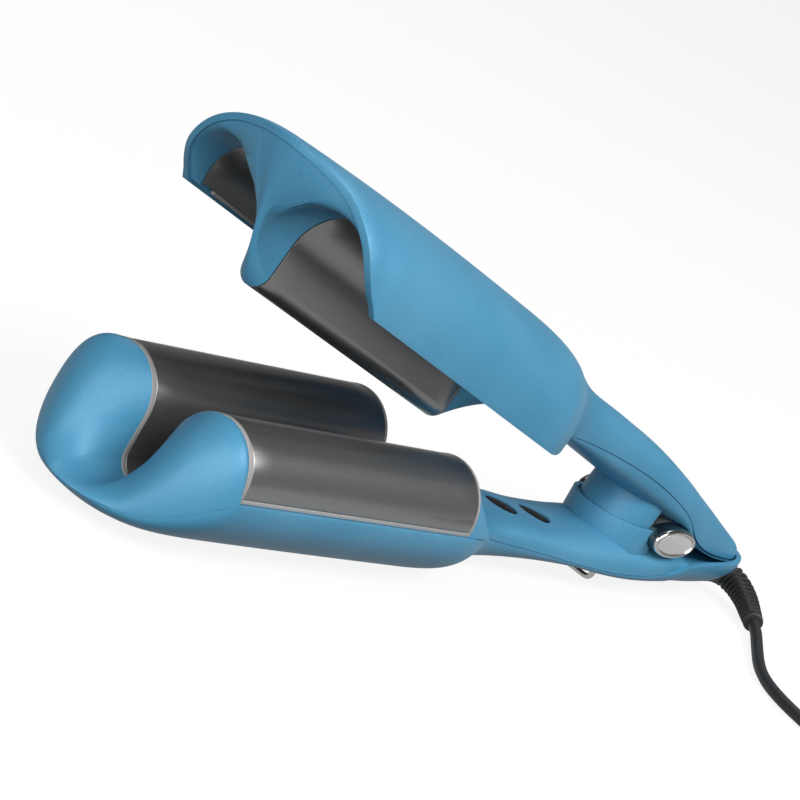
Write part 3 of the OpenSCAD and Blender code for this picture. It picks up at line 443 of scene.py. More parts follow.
# the jaws' wave and the two arms' outlines
jaws = {"pitch": 40, "barrelR": 14.5, "valleyR": 5.8, "crestZ": 39.6, "valleyFloorZ": 8.4, "plateLen": 110,
        "plateT": 1.4, "trimW": 2, "noseLen": 26, "noseLow": 5.6, "noseSweep": 3.4, "plateGap": 0.8,
        "wall": 2, "seam": 0.06, "reach": 140, "tail": 67, "hingeZ": 22.6, "open": 14}
frontX, rearX = -jaws["plateLen"] / 2, jaws["plateLen"] / 2
hingeX = rearX + jaws["reach"]
tailX = hingeX + jaws["tail"]
hingeZ, wall, seam = jaws["hingeZ"], jaws["wall"], jaws["seam"]
barrelZ = jaws["crestZ"] - jaws["barrelR"]
valleyZ = jaws["valleyFloorZ"] + jaws["valleyR"]
waveHalfW = jaws["pitch"] / 2 + jaws["barrelR"]
jawHalfW = waveHalfW + 1.8
upperHalfW = waveHalfW + jaws["plateGap"] + jaws["plateT"] + wall + 0.5
noseGap = 0.08
seamZ = barrelZ - 2.8
lipZ, restZ = seamZ - 0.5, seamZ + 0.5
tuck = wall + 3 * seam
waveSteps = {"valley": 14, "barrel": 34}


def wave(off, sideZ):  # (y, z) points from one side of the jaw to the other
    reach, drop = jaws["pitch"] / 2, barrelZ - valleyZ
    lean = atan2(drop, reach) - acos((jaws["barrelR"] + jaws["valleyR"]) / hypot(reach, drop))
    half = []
    for i in range(waveSteps["valley"] + 1):
        a = -pi / 2 + (pi / 2 + lean) * i / waveSteps["valley"]
        r = jaws["valleyR"] - off
        half.append((r * cos(a), valleyZ + r * sin(a)))
    for i in range(waveSteps["barrel"] + 1):
        a = (pi + lean) * (1 - i / waveSteps["barrel"])
        r = jaws["barrelR"] + off
        half.append((reach + r * cos(a), barrelZ + r * sin(a)))
    half.append((waveHalfW + off, sideZ))
    return [(-y, z) for y, z in half[:0:-1]] + half


wavePath = wave(0, seamZ)
waveRun = np.concatenate([[0], np.cumsum([dist(a, b) for a, b in zip(wavePath, wavePath[1:])])])
waveShare = [2 * r / waveRun[-1] - 1 for r in waveRun]

anchors = {"front": frontX, "rear": rearX, "hinge": hingeX, "tail": tailX}


def along(**spans):  # [position, value] pairs, measured from the named places
    return [(anchors[place] + x, value) for place, pairs in spans.items() for x, value in pairs]


def places(**spans):  # positions measured from the named places
    return [anchors[place] + x for place, offsets in spans.items() for x in offsets]


outline = {
    "lowerW": along(rear=[(-8, jawHalfW), (6, jawHalfW - 1.6), (19, 28.5), (32, 20), (45, 15.6), (60, 15)],
                hinge=[(-45, 15.9), (-12, 17.4), (15, 17.4)],
                tail=[(-27, 16.4), (-13, 13.2), (-5, 8.6), (-1.5, 5), (0, 2.4)]),
    "lowerSeam": along(rear=[(-2, seamZ), (18, 20.3), (43, 13.8), (70, 11.5)],
                hinge=[(-33, 9), (-10, 9.2), (11, 12.2), (20, 15.4), (35, 17)], tail=[(0, 17.6)]),
    "lowerBottom": along(front=[(-26, 5), (-20, 2.6), (-8, 0.5), (8, -0.3)],
                rear=[(-10, -0.3), (25, 0.4), (45, 2.4), (62, 4.2)],
                hinge=[(-45, 6.2), (-28, 5), (-6, 4), (25, 3.8), (42, 4.6)],
                tail=[(-12, 6.2), (-4, 8.8), (0, 12.6)]),
    "lowerMid": along(rear=[(35, 19.4), (63, 19.1), (83, 17.8)],
                hinge=[(-34, 17.9), (-24, 18.5), (8, 18.5), (17, 16.4), (28, 14.2)],
                tail=[(-22, 13.4), (-10, 13.4)]),
    "upperW": along(front=[(-24, 26), (-22, 29.5), (-18, 34.2), (-15, 36.2), (-11, 37.6), (-5, 38.2),
                (4, upperHalfW)],
                rear=[(3, upperHalfW), (11, 37), (21, 32.2), (31, 25.8), (41, 19.8), (52, 15.8), (64, 14.5)],
                hinge=[(-50, 14.5), (-20, 15.2), (0, 15.4), (15, 14.6), (30, 13.2), (42, 11.2)],
                tail=[(-10, 8.6), (-5, 5.8), (-2.6, 3.2)]),
    "upperSeam": along(rear=[(4, lipZ), (14, 22.6), (26, 25.2), (42, 28.8), (62, 31.5)],
                hinge=[(-57, 33.6), (-28, 34.8), (0, 32.8), (19, 27.6), (38, 27.6)],
                tail=[(-8, 30.6), (-2, 32)]),
    "upperTop": along(front=[(-24, 47.2), (-15, 48.5), (38, 50.6)],
                rear=[(-7, 51.4), (18, 51), (40, 48.4), (62, 45.2), (90, 45)],
                hinge=[(-25, 44.6), (0, 42.6), (28, 39.6), (50, 37)], tail=[(-6, 35.6), (-2, 34.4)]),
    "upperMid": along(rear=[(30, 27.4), (60, 27.5)], hinge=[(-30, 26.9), (10, 26.9), (30, 25.6)],
                tail=[(-12, 27.6), (-5, 29.8)]),
    "rim": [(share, frontX + x) for share, x in (
        (0, 1), (0.018, -1), (0.06, -5), (0.12, -8.6), (0.19, -11.2), (0.4, -15.5), (0.6, -18), (0.8, -21.5),
        (1, -24))],
}


def noseCurve(t):
    return max(0, 1 - t**1.5) ** (1 / 1.5)


def noseEdgeZ(y):
    return lerp(jaws["noseLow"], seamZ, min(1, abs(y) / jawHalfW) ** jaws["noseSweep"])


def lowerW(x):
    if x >= frontX:
        return keyed(outline["lowerW"], x)
    return jawHalfW * noseCurve(min(1, (frontX - x) / jaws["noseLen"]))


def lowerSeamZ(x):
    return noseEdgeZ(lowerW(x)) if x < frontX else keyed(outline["lowerSeam"], x)


def offsetRow(row, w, limit, reach=4):  # a section's inner side
    n = len(row) - 1
    inner = []
    for j, p in enumerate(row):
        a, b = row[max(j - reach, 0)], row[min(j + reach, n)]
        dy, dz = b[1] - a[1], b[2] - a[2]
        size = max(hypot(dy, dz), 1e-6)
        y, z = p[1] - w * dz / size, p[2] + w * dy / size
        inner.append((p[0], copysign(min(abs(y), limit - 0.1 / reach * min(j, n - j)), y), z))
    return inner


def opened(points):  # from the closed place to the open rest place
    a = radians(jaws["open"])
    c, s = cos(a), sin(a)
    return [(hingeX + (x - hingeX) * c + (z - hingeZ) * s, y, hingeZ - (x - hingeX) * s + (z - hingeZ) * c)
            for x, y, z in points]


def openedGrid(grid):
    return [opened(row) for row in grid]


# lower arm
lowerShape = {"sectionSteps": 72, "noseSteps": 36, "rimRound": 0.35, "noseRound": 0.3, "noseInset": 0.25,
              "endBlend": 9, "sectionPower": 2.05, "cordHoleR": 6.1, "cordHole": (tailX - 10, 0, 8.8),
              "standSlot": ((135.8, -10.6, -1), (hingeX - 3.8, 10.6, 10.1))}


def makeLowerShell():
    blend, steps = lowerShape["endBlend"], lowerShape["sectionSteps"]
    start = frontX - jaws["noseLen"] + lowerShape["noseInset"]
    stations = refine(
        [start + u for u in (0, 0.5, 1.2, 2.4, 4.4, 7.5, 12, 18, 24)] + [frontX + 4, 0]
        + places(rear=(-12, -2, 4, 10, 16, 22, 28, 34, 40, 52, 64, 74)) + spread(rearX + 74, hingeX + 4, 6)
        + places(hinge=(12, 20), tail=(-40, -32, -24, -17, -11, -7, -4, -2, -0.8, 0)), 4)

    def row(x, w):
        thicker = 1 - smooth(start + wall, start + blend, x) + smooth(tailX - blend, tailX - wall, x)
        half = max(1, lowerW(x) - w * (1 + thicker))
        side, mid = lowerSeamZ(x), keyed(outline["lowerBottom"], x) + w
        shares = (1 - 2 * i / steps for i in range(steps + 1))
        section = (arch(half, side, mid, lowerShape["sectionPower"], s) for s in shares)
        return [(x, y, max(w, z)) for y, z in section]

    inner = [row(lerp(start + wall, tailX - wall, (x - start) / (tailX - start)), wall) for x in stations]
    shell = skin("lowerShell", [row(x, 0) for x in stations], inner, "pearl")
    exitHole = moved(prism(disc(0, 0, lowerShape["cordHoleR"]), 0, 20), lowerShape["cordHole"], 90, "Y")
    return cutBy(rounded(shell, lowerShape["rimRound"]), [block(*lowerShape["standSlot"]), exitHole])


def noseGrid(w):
    grid = []
    for i in range(lowerShape["noseSteps"] + 1):
        t = pi / 2 * i / lowerShape["noseSteps"]
        row = []
        for (y0, z0), s in zip(wave(-w, seamZ + seam), waveShare):
            half = jawHalfW - w
            endY = half * sin(pi / 2 * s)
            endX = frontX - noseGap - (jaws["noseLen"] - w) * noseCurve(min(1, abs(endY) / half))
            endZ = noseEdgeZ(jawHalfW * sin(pi / 2 * s)) + 0.05 + 0.3 * w
            full = lerp(1.25, 2.2, smooth(0.18, 0.5, abs(s))) - 0.5 * smooth(0.75, 1, abs(s))
            f, g = sin(t) ** (2 / full), 1 - max(0, cos(t)) ** (2 / full)
            row.append((lerp(frontX - noseGap, endX, f), lerp(y0, endY, f), lerp(z0, endZ, g)))
        grid.append(row)
    return grid


def makeLowerNose():
    nose = skin("lowerNose", noseGrid(0), noseGrid(wall), "pearl")
    return rounded(nose, lowerShape["noseRound"])


cup = {"frontX": hingeX - 29.5, "len": 21.5, "halfW": 15, "wall": 1.6, "gap": 0.8, "rimZ": hingeZ + 2,
       "floorZ": hingeZ - 9.2, "springR": 5, "springWire": 0.6, "springTurns": 5, "springKeep": 0.62}


def cupOutline(inset):
    radius = 14.5
    a, b, centre = radius - inset, cup["halfW"] - inset, cup["frontX"] + radius
    rear = cup["frontX"] + cup["len"] - inset
    bow = [(centre + a * cos(radians(t)), b * sin(radians(t))) for t in range(90, 271, 5)]
    return bow + [(rear, -b), (rear, b)]


caps = {"len": 24, "height": 10.5, "out": 18.5, "in": 12.9, "rim": 1.5, "gap": 0.2}
hingeSizes = {"earOut": 12.5, "knuckleHalfW": 8.3, "knuckleR": 5.6}


def ovalRing(y, inset):
    a, b = caps["len"] / 2 - inset, caps["height"] / 2 - inset
    return [(hingeX + a * c, y, hingeZ + b * s) for c, s in circle(72)]


def capPockets(inset, inner, turns=(0,)):  # room for both caps, over the turns the arm makes
    a, b = caps["len"] / 2 - inset, caps["height"] / 2 - inset
    ring = []
    for t in np.arange(72) * 2 * pi / 72:
        r = max(a * b / hypot(b * cos(t - radians(k)), a * sin(t - radians(k))) for k in turns)
        ring.append((hingeX + r * cos(t), hingeZ + r * sin(t)))
    return [prism(ring, low, high, 1) for low, high in ((-30, -inner), (inner, 30))]


buttons = {"diameter": 11.5, "gap": 0.25, "x": (rearX + 63, rearX + 83), "proud": 0.25, "flange": 0.9,
           "stemR": 1.4, "switchTop": 10.5 + 1.5 + 1, "travel": 0.8}


lowerCover = {"blend": 36, "powers": (2.6, 3), "tailShare": 0.87, "tailInset": 1.5, "tailDrop": 0.3,
              "play": 0.2}


def coverRow(x, rim, share, half, side, mid, power):  # from the jaw's wave to the handle's rounded section
    row = []
    for (y0, z0), s in zip(rim, waveShare):
        y, z = arch(half, side, mid, power, s * 0.999)
        row.append((x, lerp(y0, y, share), lerp(z0, z, share)))
    return row


def makeLowerCover():
    stations = refine(places(rear=(seam, 1.2, 3, 5.5, 10, 16, 22, 28, 34, 40, 52, 64, 74))
                      + spread(rearX + 74, hingeX + 4, 6)
                      + places(hinge=(9, 14, 19, 25, 31, 38), tail=(-20, -15, -10.5)), 4)
    rim = wave(0, seamZ + 2 * seam)
    grid, lining = [], []
    for x in stations:
        f, tail = fall(rearX, rearX + lowerCover["blend"], x), smooth(hingeX + 2, hingeX + 16, x)
        narrow = lerp(1, lowerCover["tailShare"], smooth(hingeX + 16, tailX - 10, x))
        half = lowerW(x) * narrow - lowerCover["tailInset"] * tail
        mid = keyed(outline["lowerMid"], x)
        side = lerp(lowerSeamZ(x) + 2 * seam, min(mid - 1, lowerSeamZ(x) - lowerCover["tailDrop"]), tail)
        row = coverRow(x, rim, f, half, side, mid, lerp(*lowerCover["powers"], f))
        inner = offsetRow(row, -wall, lowerW(x) - tuck)
        for j in (0, -1):
            inner[j] = (*inner[j][:2], row[j][2])
        grid.append(row)
        lining.append(inner)
    cover = skin("lowerCover", grid, lining, "pearl")
    reach, ear = hingeSizes["knuckleR"] + 1, hingeSizes["earOut"] + lowerCover["play"]
    holes = [prism(disc(x, 0, buttons["diameter"] / 2 + buttons["gap"]), 0, 40) for x in buttons["x"]]
    holes += [prism(cupOutline(-lowerCover["play"]), 0, 40),
              block((hingeX - reach, -ear, 0), (hingeX + reach, ear, 40))]
    return cutBy(cover, holes + capPockets(-caps["gap"], caps["in"] - caps["gap"]))


def band(name, top, bottom, fromX, toX, look, body="lower_arm", turned=False, parts=12):
    xs = [lerp(fromX, toX, i / parts) for i in range(parts + 1)]
    grids = [[[(x, y, z) for y, z in line] for x in xs] for line in (top, bottom)]
    if turned:
        grids = [openedGrid(g) for g in grids]
    return skin(name, *grids, look, body)


def joined(name, pieces):
    points, faces = [], []
    look = next(k for k, m in looks.items() if m == pieces[0].data.materials[0])
    body = pieces[0]["body"]
    for piece in pieces:
        start = len(points)
        points += [v.co.copy() / metre for v in piece.data.vertices]
        faces += [tuple(start + i for i in f.vertices) for f in piece.data.polygons]
        discard(piece)
    return objectOf(name, points, faces, look, body)


trims = {"endLen": 1.9, "rearLen": 0.9, "gap": 0.02, "depth": 2, "lowerSide": 1.05, "lowerTop": 1.2,
         "lowerRound": 0.22, "upperRound": 0.18, "upperFront": 12}


def trimSides(mid, half, low, high, fromX, *arm):  # strips along both edges of a plate
    toX = rearX - trims["rearLen"] - trims["gap"]
    return [band("t", *([(s * mid - half, z), (s * mid + half, z)] for z in (high, low)), fromX, toX, "trim",
                 *arm, parts=2) for s in (-1, 1)]


def makeLowerPlate():
    plate = band("lowerPlate", wave(0, seamZ + 1.4), wave(-jaws["plateT"], seamZ + 1.4),
                 frontX + jaws["trimW"], rearX - 1, "glaze")
    return rounded(plate, 0.25)


def makeLowerTrim():
    edge, end = seamZ + seam, frontX + trims["endLen"]
    parts = [band("t", wave(0.1, edge), wave(-trims["depth"], edge), x0, x1, "trim", parts=1)
             for x0, x1 in ((frontX, end), (rearX - trims["rearLen"], rearX))]
    mid, top = waveHalfW - 0.95, edge + trims["lowerTop"]
    parts += trimSides(mid, trims["lowerSide"], edge, top, end + trims["gap"])
    return joined("lowerTrim", [rounded(p, trims["lowerRound"]) for p in parts])


# upper arm
upperShape = {"sectionSteps": 72, "visorSteps": 36, "rake": 0.3, "ridgeBow": 1.6, "hollowBow": 0.95,
              "ridgePinch": 0.86, "visorWall": 1.4, "lipRound": 0.85, "linerWall": 1.6, "sectionPower": 2.6,
              "visorInset": wall - 0.12, "visorRound": 0.4}


def makeUpperShell():
    rear, steps = tailX - 2.6, upperShape["sectionSteps"]
    shares = refine([0, 0.012, 0.03, 0.06, 0.1, 0.16, 0.24, 0.32, 0.365]
                    + [0.385 + i * 0.02 for i in range(13)] + [0.625 + i * 0.038 for i in range(1, 9)]
                    + [0.955, 0.972, 0.984, 0.992, 0.997, 1], 4)

    def row(u, w):
        points = []
        for s in (2 * i / steps - 1 for i in range(steps + 1)):
            x = lerp(keyed(outline["rim"], 1 - abs(s)), rear - w, u)
            y, z = arch(max(1, keyed(outline["upperW"], x) - w), keyed(outline["upperSeam"], x),
                        keyed(outline["upperTop"], x) - w, upperShape["sectionPower"], s)
            points.append((x, y, z))
        return opened(points)

    shell = skin("upperShell", *([row(u, w) for u in shares] for w in (0, wall)), "pearl", "upper_arm")
    return rounded(shell, upperShape["lipRound"], 4)


def visorGrid(w):
    grid, inset = [], upperShape["visorInset"]
    for i in range(upperShape["visorSteps"] + 1):
        t = pi / 2 * i / upperShape["visorSteps"]
        row = []
        for (y0, z0), s in zip(wave(jaws["plateGap"] + w, restZ), waveShare):
            rimS = copysign(abs(s) ** 0.8, s)
            x = keyed(outline["rim"], 1 - abs(rimS)) + 0.5 + w * 1.6
            bow = lerp(upperShape["ridgeBow"], upperShape["hollowBow"], smooth(0.03, 0.29, abs(s)))
            f, g = 1 - max(0, cos(t)) ** bow, sin(t) ** bow
            y, z = arch(keyed(outline["upperW"], x) - inset, keyed(outline["upperSeam"], x) + restZ - lipZ,
                        keyed(outline["upperTop"], x) - inset, upperShape["sectionPower"], rimS * 0.999)
            pinch = upperShape["ridgePinch"] * (1 - smooth(0.14, 0.55, abs(s))) * sin(pi * g)
            rake = upperShape["rake"] * max(0, jaws["crestZ"] - z0) * (abs(y0) > jaws["pitch"] / 2)
            row.append((lerp(frontX + rake - noseGap, x, g), lerp(y0, y, f) * (1 - pinch), lerp(z0, z, f)))
        grid.append(opened(row))
    return grid


def makeVisor():
    visor = skin("upperNose", visorGrid(upperShape["visorWall"]), visorGrid(0), "pearl", "upper_arm")
    return rounded(visor, upperShape["visorRound"])


upperCover = {"blend": 36, "power": 3, "inset": 2.8, "raise": 2.2, "tailDrop": 0.5, "edge": 0.7, "rimUp": 0.3}


def makeUpperCover():
    stations = refine([rearX + seam + x for x in (0, 1.2, 3, 5.5, 9, 13, 18, 24, 31, 40, 55, 70)]
                      + spread(rearX + 70, hingeX + 10, 6)
                      + places(hinge=(18, 27, 36), tail=(-20, -13, -8.5, -5.5, -3.6)), 4)
    rim = wave(jaws["plateGap"], restZ + upperCover["rimUp"])
    grid, lining = [], []
    for x in stations:
        width = keyed(outline["upperW"], x)
        inset = wall + seam + upperCover["inset"] * (1 - smooth(rearX + 20, rearX + 40, x))
        half = width - inset * (1 - smooth(rearX + 40, rearX + 55, x))
        side = (keyed(outline["upperSeam"], x) - 2 * seam
                + upperCover["raise"] * (1 - smooth(rearX + 24, rearX + 31, x))
                - upperCover["tailDrop"] * smooth(hingeX + 4, hingeX + 14, x))
        row = coverRow(x, rim, fall(rearX, rearX + upperCover["blend"], x), half, side,
                       keyed(outline["upperMid"], x), upperCover["power"])
        near = offsetRow(row, upperShape["linerWall"], width - tuck - upperCover["edge"])
        share, k = smooth(rearX + 16, rearX + 24, x), 1 - tuck / abs(row[0][1])
        inner = [tuple(lerp(a, b, share) for a, b in zip(p, (x, k * q[1], q[2] + upperShape["linerWall"])))
                 for p, q in zip(near, row)]
        level = smooth(rearX + 31, rearX + 40, x)
        for j in (0, -1):
            inner[j] = (*inner[j][:2], lerp(inner[j][2] + 0.5, row[j][2], level))
        grid.append(row)
        lining.append(inner)
    cover = skin("upperCover", openedGrid(lining), openedGrid(grid), "pearl", "upper_arm")
    reach, half = hingeSizes["knuckleR"] + 1, hingeSizes["knuckleHalfW"] + 0.3
    lid = prism(cupOutline(cup["wall"] + cup["gap"] - 0.2), 10, 50)
    slot = block((hingeX - reach, -half, 10), (hingeX + reach, half, 50))
    pockets = capPockets(-0.7, caps["in"] - 4.2, (0, jaws["open"] / 2, jaws["open"]))
    return cutBy(cover, [turnOpen(cutter) for cutter in [lid, slot] + pockets])


def turnOpen(piece):
    at = Vector((hingeX, 0, hingeZ)) * metre
    turn = Matrix.Rotation(radians(jaws["open"]), 4, "Y")
    piece.data.transform(Matrix.Translation(at) @ turn @ Matrix.Translation(-at))
    return piece


def makeUpperPlate():
    top, under = jaws["plateGap"] + jaws["plateT"], jaws["plateGap"]
    plate = band("upperPlate", wave(top, restZ + 1.1), wave(under, restZ + 1.1), frontX + 0.6, rearX - 1,
                 "glaze", "upper_arm", turned=True)
    lean = degrees(atan(1 / upperShape["rake"])) - 90
    cutters = []
    for side, low, high in ((1, 0.001, 40), (-1, -40, -0.001)):
        place = (frontX + 0.4, side * jaws["pitch"] / 2, jaws["crestZ"])
        cutters.append(turnOpen(moved(block((-60, low, -60), (0, high, 20)), place, lean, "Y")))
    return rounded(cutBy(plate, cutters), 0.2, 2)


def makeUpperTrim():
    off, t = jaws["plateGap"], jaws["plateT"]
    parts = [band("t", wave(off + t + 0.2, restZ), wave(off, restZ), rearX - trims["rearLen"], rearX, "trim",
                  "upper_arm", turned=True, parts=1)]
    mid, front = waveHalfW + off + t / 2, frontX + trims["upperFront"]
    parts += trimSides(mid, t / 2, restZ, restZ + 1, front, "upper_arm", True)
    return joined("upperTrim", [rounded(p, trims["upperRound"]) for p in parts])


# spring cup, hinge and buttons
def makeCup():
    outside = prism(cupOutline(0), cup["floorZ"], cup["rimZ"], 2, "springCup", "pearl")
    hollow = prism(cupOutline(cup["wall"]), cup["floorZ"] + cup["wall"], 60)
    return rounded(cutBy(outside, [hollow] + capPockets(-caps["gap"], caps["in"] - caps["gap"])), 0.45)


boss = {"faceUp": 4.3, "dip": 7, "root": 3.4, "hollow": 1.8}


def makeBoss():
    inset, faceZ = cup["wall"] + cup["gap"], hingeZ + boss["faceUp"]
    outside = prism(cupOutline(inset), cup["rimZ"] - boss["dip"], faceZ + boss["root"], 2, "springBoss",
                    "pearl", "upper_arm")
    hollow = prism(cupOutline(inset + cup["wall"]), 0, faceZ + boss["hollow"])
    return turnOpen(rounded(cutBy(outside, [hollow]), 0.4))


def makeOval(name, side, profile, look):  # rings about the hinge, on the near or the far side
    rings = [ovalRing(side * y, inset) for y, inset in profile]
    return loft(name + ("Far" if side > 0 else "Near"), rings, look, sharp=50)


def makeCap(side):
    out, rim = caps["out"], caps["rim"]
    cap = makeOval("hingeCap", side, [
        (caps["in"], 0), (out - 1.6, 0), (out - 0.9, 0.08), (out - 0.35, 0.32), (out - 0.06, 0.72),
        (out, 1.05), (out - 0.12, rim - 0.12), (out - 0.3, rim), (out - 1.3, rim)], "chrome")
    # the barrel's side, between the arm and the rounded rim, takes the darker chrome copy as painted shade
    cap.data.materials.append(looks["darkChrome"])
    for face in cap.data.polygons:
        if abs(face.center.y) < (out - 1) * metre:
            face.material_index = 1
    return cap


def makeDisc(side):
    profile = [(1.3, 1.62), (0.62, 1.62), (0.44, 1.75), (0.38, 2.1), (0.3, 3.2), (0.26, 4.4), (0.25, 5.1)]
    return makeOval("hingeDisc", side, [(caps["out"] - depth, inset) for depth, inset in profile], "disc")


def makeButton(k):
    x, r, stem = buttons["x"][k], buttons["diameter"] / 2, buttons["stemR"]
    mid = keyed(outline["lowerMid"], x)
    top, flange, wide = mid - buttons["proud"], mid - wall - buttons["travel"], r + buttons["flange"]
    profile = [(stem, buttons["switchTop"] + 0.9), (stem, flange - 0.8), (wide, flange - 0.8), (wide, flange),
               (r, flange), (r, top - 1), (r - 0.08, top - 0.72), (r - 0.35, top - 0.45)]
    profile += [((r - 0.4) * cos(t), top - 0.42 + 0.42 * sin(t)) for t in np.linspace(0, 1.5, 12)]
    rings = [[(x + rad * c, rad * s, z) for c, s in circle(64)] for rad, z in profile]
    name = ("power", "heat")[k]
    return loft(name + "Button", rings, "button", name + "_button_body", 50)


stand = {"x": 140, "z": 7.6, "len": 37, "halfW": 7, "wire": 0.95, "drop": 6.5, "bend": 2.6, "rootBend": 0.9,
         "pivot": 2.4}


def makeStand():
    x0, z0, w, x1 = stand["x"], stand["z"], stand["halfW"], stand["x"] + stand["len"]
    near = [(x0, w + stand["pivot"], z0), (x0, w, z0), (x1, w, z0), (x1, w, z0 - stand["drop"])]
    corners = [np.array(p, float) for p in near + [(x, -y, z) for x, y, z in near[::-1]]]
    line = corners[:1]
    for i, p in enumerate(corners[1:-1], 1):
        before, after = corners[i - 1] - p, corners[i + 1] - p
        sizes = [np.linalg.norm(v) for v in (before, after)]
        cut = min(stand["bend"] if 1 < i < 6 else stand["rootBend"], sizes[0] / 2, sizes[1] / 2)
        a, b = p + before / sizes[0] * cut, p + after / sizes[1] * cut
        line += [a * (1 - t)**2 + p * 2 * t * (1 - t) + b * t**2 for t in np.linspace(0, 1, 7)]
    line += corners[-1:]
    return tube("wireStand", line, [stand["wire"]] * len(line), 16, "steel", "stand_body")


# repeated shapes from node trees
class Recipe(Wiring):  # a geometry node tree with named sizes
    def __init__(self, name, sizes):
        super().__init__(bpy.data.node_groups.new(name, "GeometryNodeTree"))
        face = self.tree.interface
        face.new_socket("Geometry", in_out="INPUT", socket_type="NodeSocketGeometry")
        self.values = {}
        for size, value in sizes.items():
            kind = "NodeSocketInt" if isinstance(value, int) else "NodeSocketFloat"
            self.values[face.new_socket(size, in_out="INPUT", socket_type=kind).identifier] = value
        face.new_socket("Geometry", in_out="OUTPUT", socket_type="NodeSocketGeometry")
        self.start = self.tree.nodes.new("NodeGroupInput")

    def size(self, name):
        return Signal(self, self.start.outputs[name])

    def build(self, name, line, geometry, look):  # the finished mesh, made along a line
        real = self.add("GeometryNodeRealizeInstances", {}, {"Geometry": geometry})
        painted = self.add("GeometryNodeSetMaterial", {}, {"Geometry": real, "Material": looks[look]})
        self.tree.links.new(painted.socket, self.tree.nodes.new("NodeGroupOutput").inputs[0])
        carrier = placed(name, meshOf(name, line, [(i, i + 1) for i in range(len(line) - 1)], []))
        modifier = carrier.modifiers.new("recipe", "NODES")
        modifier.node_group = self.tree
        for socket, value in self.values.items():
            modifier[socket] = value
        mesh = solved(carrier)
        discard(carrier)
        piece = placed(name, mesh)
        soften(piece, 40)
        piece["body"] = "lower_arm"
        return piece


def makeSpring():
    low, high = cup["floorZ"] + cup["wall"] + cup["springWire"] + 0.05, hingeZ + 7.4
    recipe = Recipe("coiledWire", {
        "Turns": float(cup["springTurns"]), "Radius": cup["springR"] * metre,
        "Height": (high - low) * metre, "Wire": cup["springWire"] * metre})
    radius = recipe.size("Radius")
    spiral = recipe.add("GeometryNodeCurveSpiral", {}, {
        "Resolution": 28, "Rotations": recipe.size("Turns"), "Start Radius": radius, "End Radius": radius,
        "Height": recipe.size("Height")})
    ring = recipe.add("GeometryNodeCurvePrimitiveCircle", {}, {
        "Resolution": 10, "Radius": recipe.size("Wire")})
    wire = recipe.add("GeometryNodeCurveToMesh", {}, {
        "Curve": spiral, "Profile Curve": ring, "Fill Caps": True})
    lifted = recipe.add("GeometryNodeTransform", {}, {
        "Geometry": wire, "Translation": ((cup["frontX"] + 10.5) * metre, 0, low * metre)})
    return recipe.build("returnSpring", [(0, 0, 0), (1, 0, 0)], lifted, "steel")


relief = {"route": [(tailX + x, y, z) for x, y, z in (
              (-9, 0, 8.8), (-3, -0.5, 8.8), (0.9, -3.2, 8.4), (1.5, -9, 7.4), (-1.2, -16, 5.8),
              (-6, -22.5, 4.3), (-12, -28.6, 3.6))],
          "baseR": 5.7, "tipR": 3.4, "ribs": 12, "ribT": 1.05, "ribShare": (0.36, 0.93), "core": 0.74,
          "tip": 0.86, "spine": 0.5}


def makeRelief():
    line = throughPoints(relief["route"], 12)
    n = len(line)
    radii = [lerp(relief["baseR"], relief["tipR"], i / (n - 1)) for i in range(n)]
    first, last = (int(n * s) for s in relief["ribShare"])
    core = [r * lerp(1, relief["core"], smooth(first - 3, first, i) * (1 - smooth(last, last + 3, i)))
            for i, r in enumerate(radii)]
    core[-1] *= relief["tip"]
    body = tube("reliefCore", line, core, 28, "relief")

    recipe = Recipe("ribsAlongLine", {
        "Ribs": relief["ribs"], "Radius": radii[first] * metre, "Shrink": 1 - radii[last] / radii[first],
        "Thickness": relief["ribT"] * metre})
    curve = recipe.add("GeometryNodeMeshToCurve", {}, {"Mesh": recipe.size("Geometry")})
    even = recipe.add("GeometryNodeResampleCurve", {}, {"Curve": curve, "Count": recipe.size("Ribs")})
    tangent = recipe.add("GeometryNodeInputTangent")
    turn = recipe.add("FunctionNodeAlignRotationToVector", {"axis": "Z"}, {"Vector": tangent})
    share = recipe.add("GeometryNodeSplineParameter", out="Factor")
    rib = recipe.add("GeometryNodeMeshCylinder", {"fill_type": "NGON"}, {
        "Vertices": 32, "Side Segments": 1, "Radius": recipe.size("Radius"),
        "Depth": recipe.size("Thickness")})
    ribbed = recipe.add("GeometryNodeInstanceOnPoints", {}, {
        "Points": even, "Instance": rib, "Rotation": turn, "Scale": 1 - share * recipe.size("Shrink")})
    ribs = rounded(recipe.build("reliefRibs", line[first:last], ribbed, "relief"), 0.22, 2)
    # the smooth spine that joins the ribs lies on the side away from the slots
    spine, span = [], range(first - 2, last + 2)
    for i in span:
        ahead = line[i + 1] - line[i - 1]
        ahead /= np.linalg.norm(ahead)
        side = np.cross(ahead, (0, 0, 1))
        side = side / np.linalg.norm(side) * -0.8 + np.cross(side, ahead) * -0.6
        spine.append(line[i] - side / np.linalg.norm(side) * radii[i] * relief["spine"] * 0.98)
    thick = [radii[i] * (1 - relief["spine"] * 0.97) for i in span]
    return joined("strainRelief", [body, ribs, tube("reliefSpine", spine, thick, 24, "relief")])


# cord, its tie and its plug
cord = {"diameter": 4, "floorZ": 2.1, "pointsPerTurn": 40,
        "route": [(249.6, -29, 3.5), (243.5, -34.6, 3), (235, -41, 2.6), (226.6, -47.2, 2.3),
                (218.4, -53.4, 2.1), (210.6, -60, 2.1), (203.5, -68, 2.1), (198, -78, 2.1),
                (194.4, -89, 2.1), (192.6, -98, 2.1), (192.1, -107.1, 2.1)],
        "coil": (220, -128), "turns": (30.75, 26.75, 22.75, 24.75, 28.75, 30.75, 26.75, 22.75, 24.75, 28.75),
        "landed": 180, "touch": 3.95, "stepTurn": 65, "drift": 10, "leave": 48, "straight": 19, "bendR": 40,
        "plugTurn": 80}


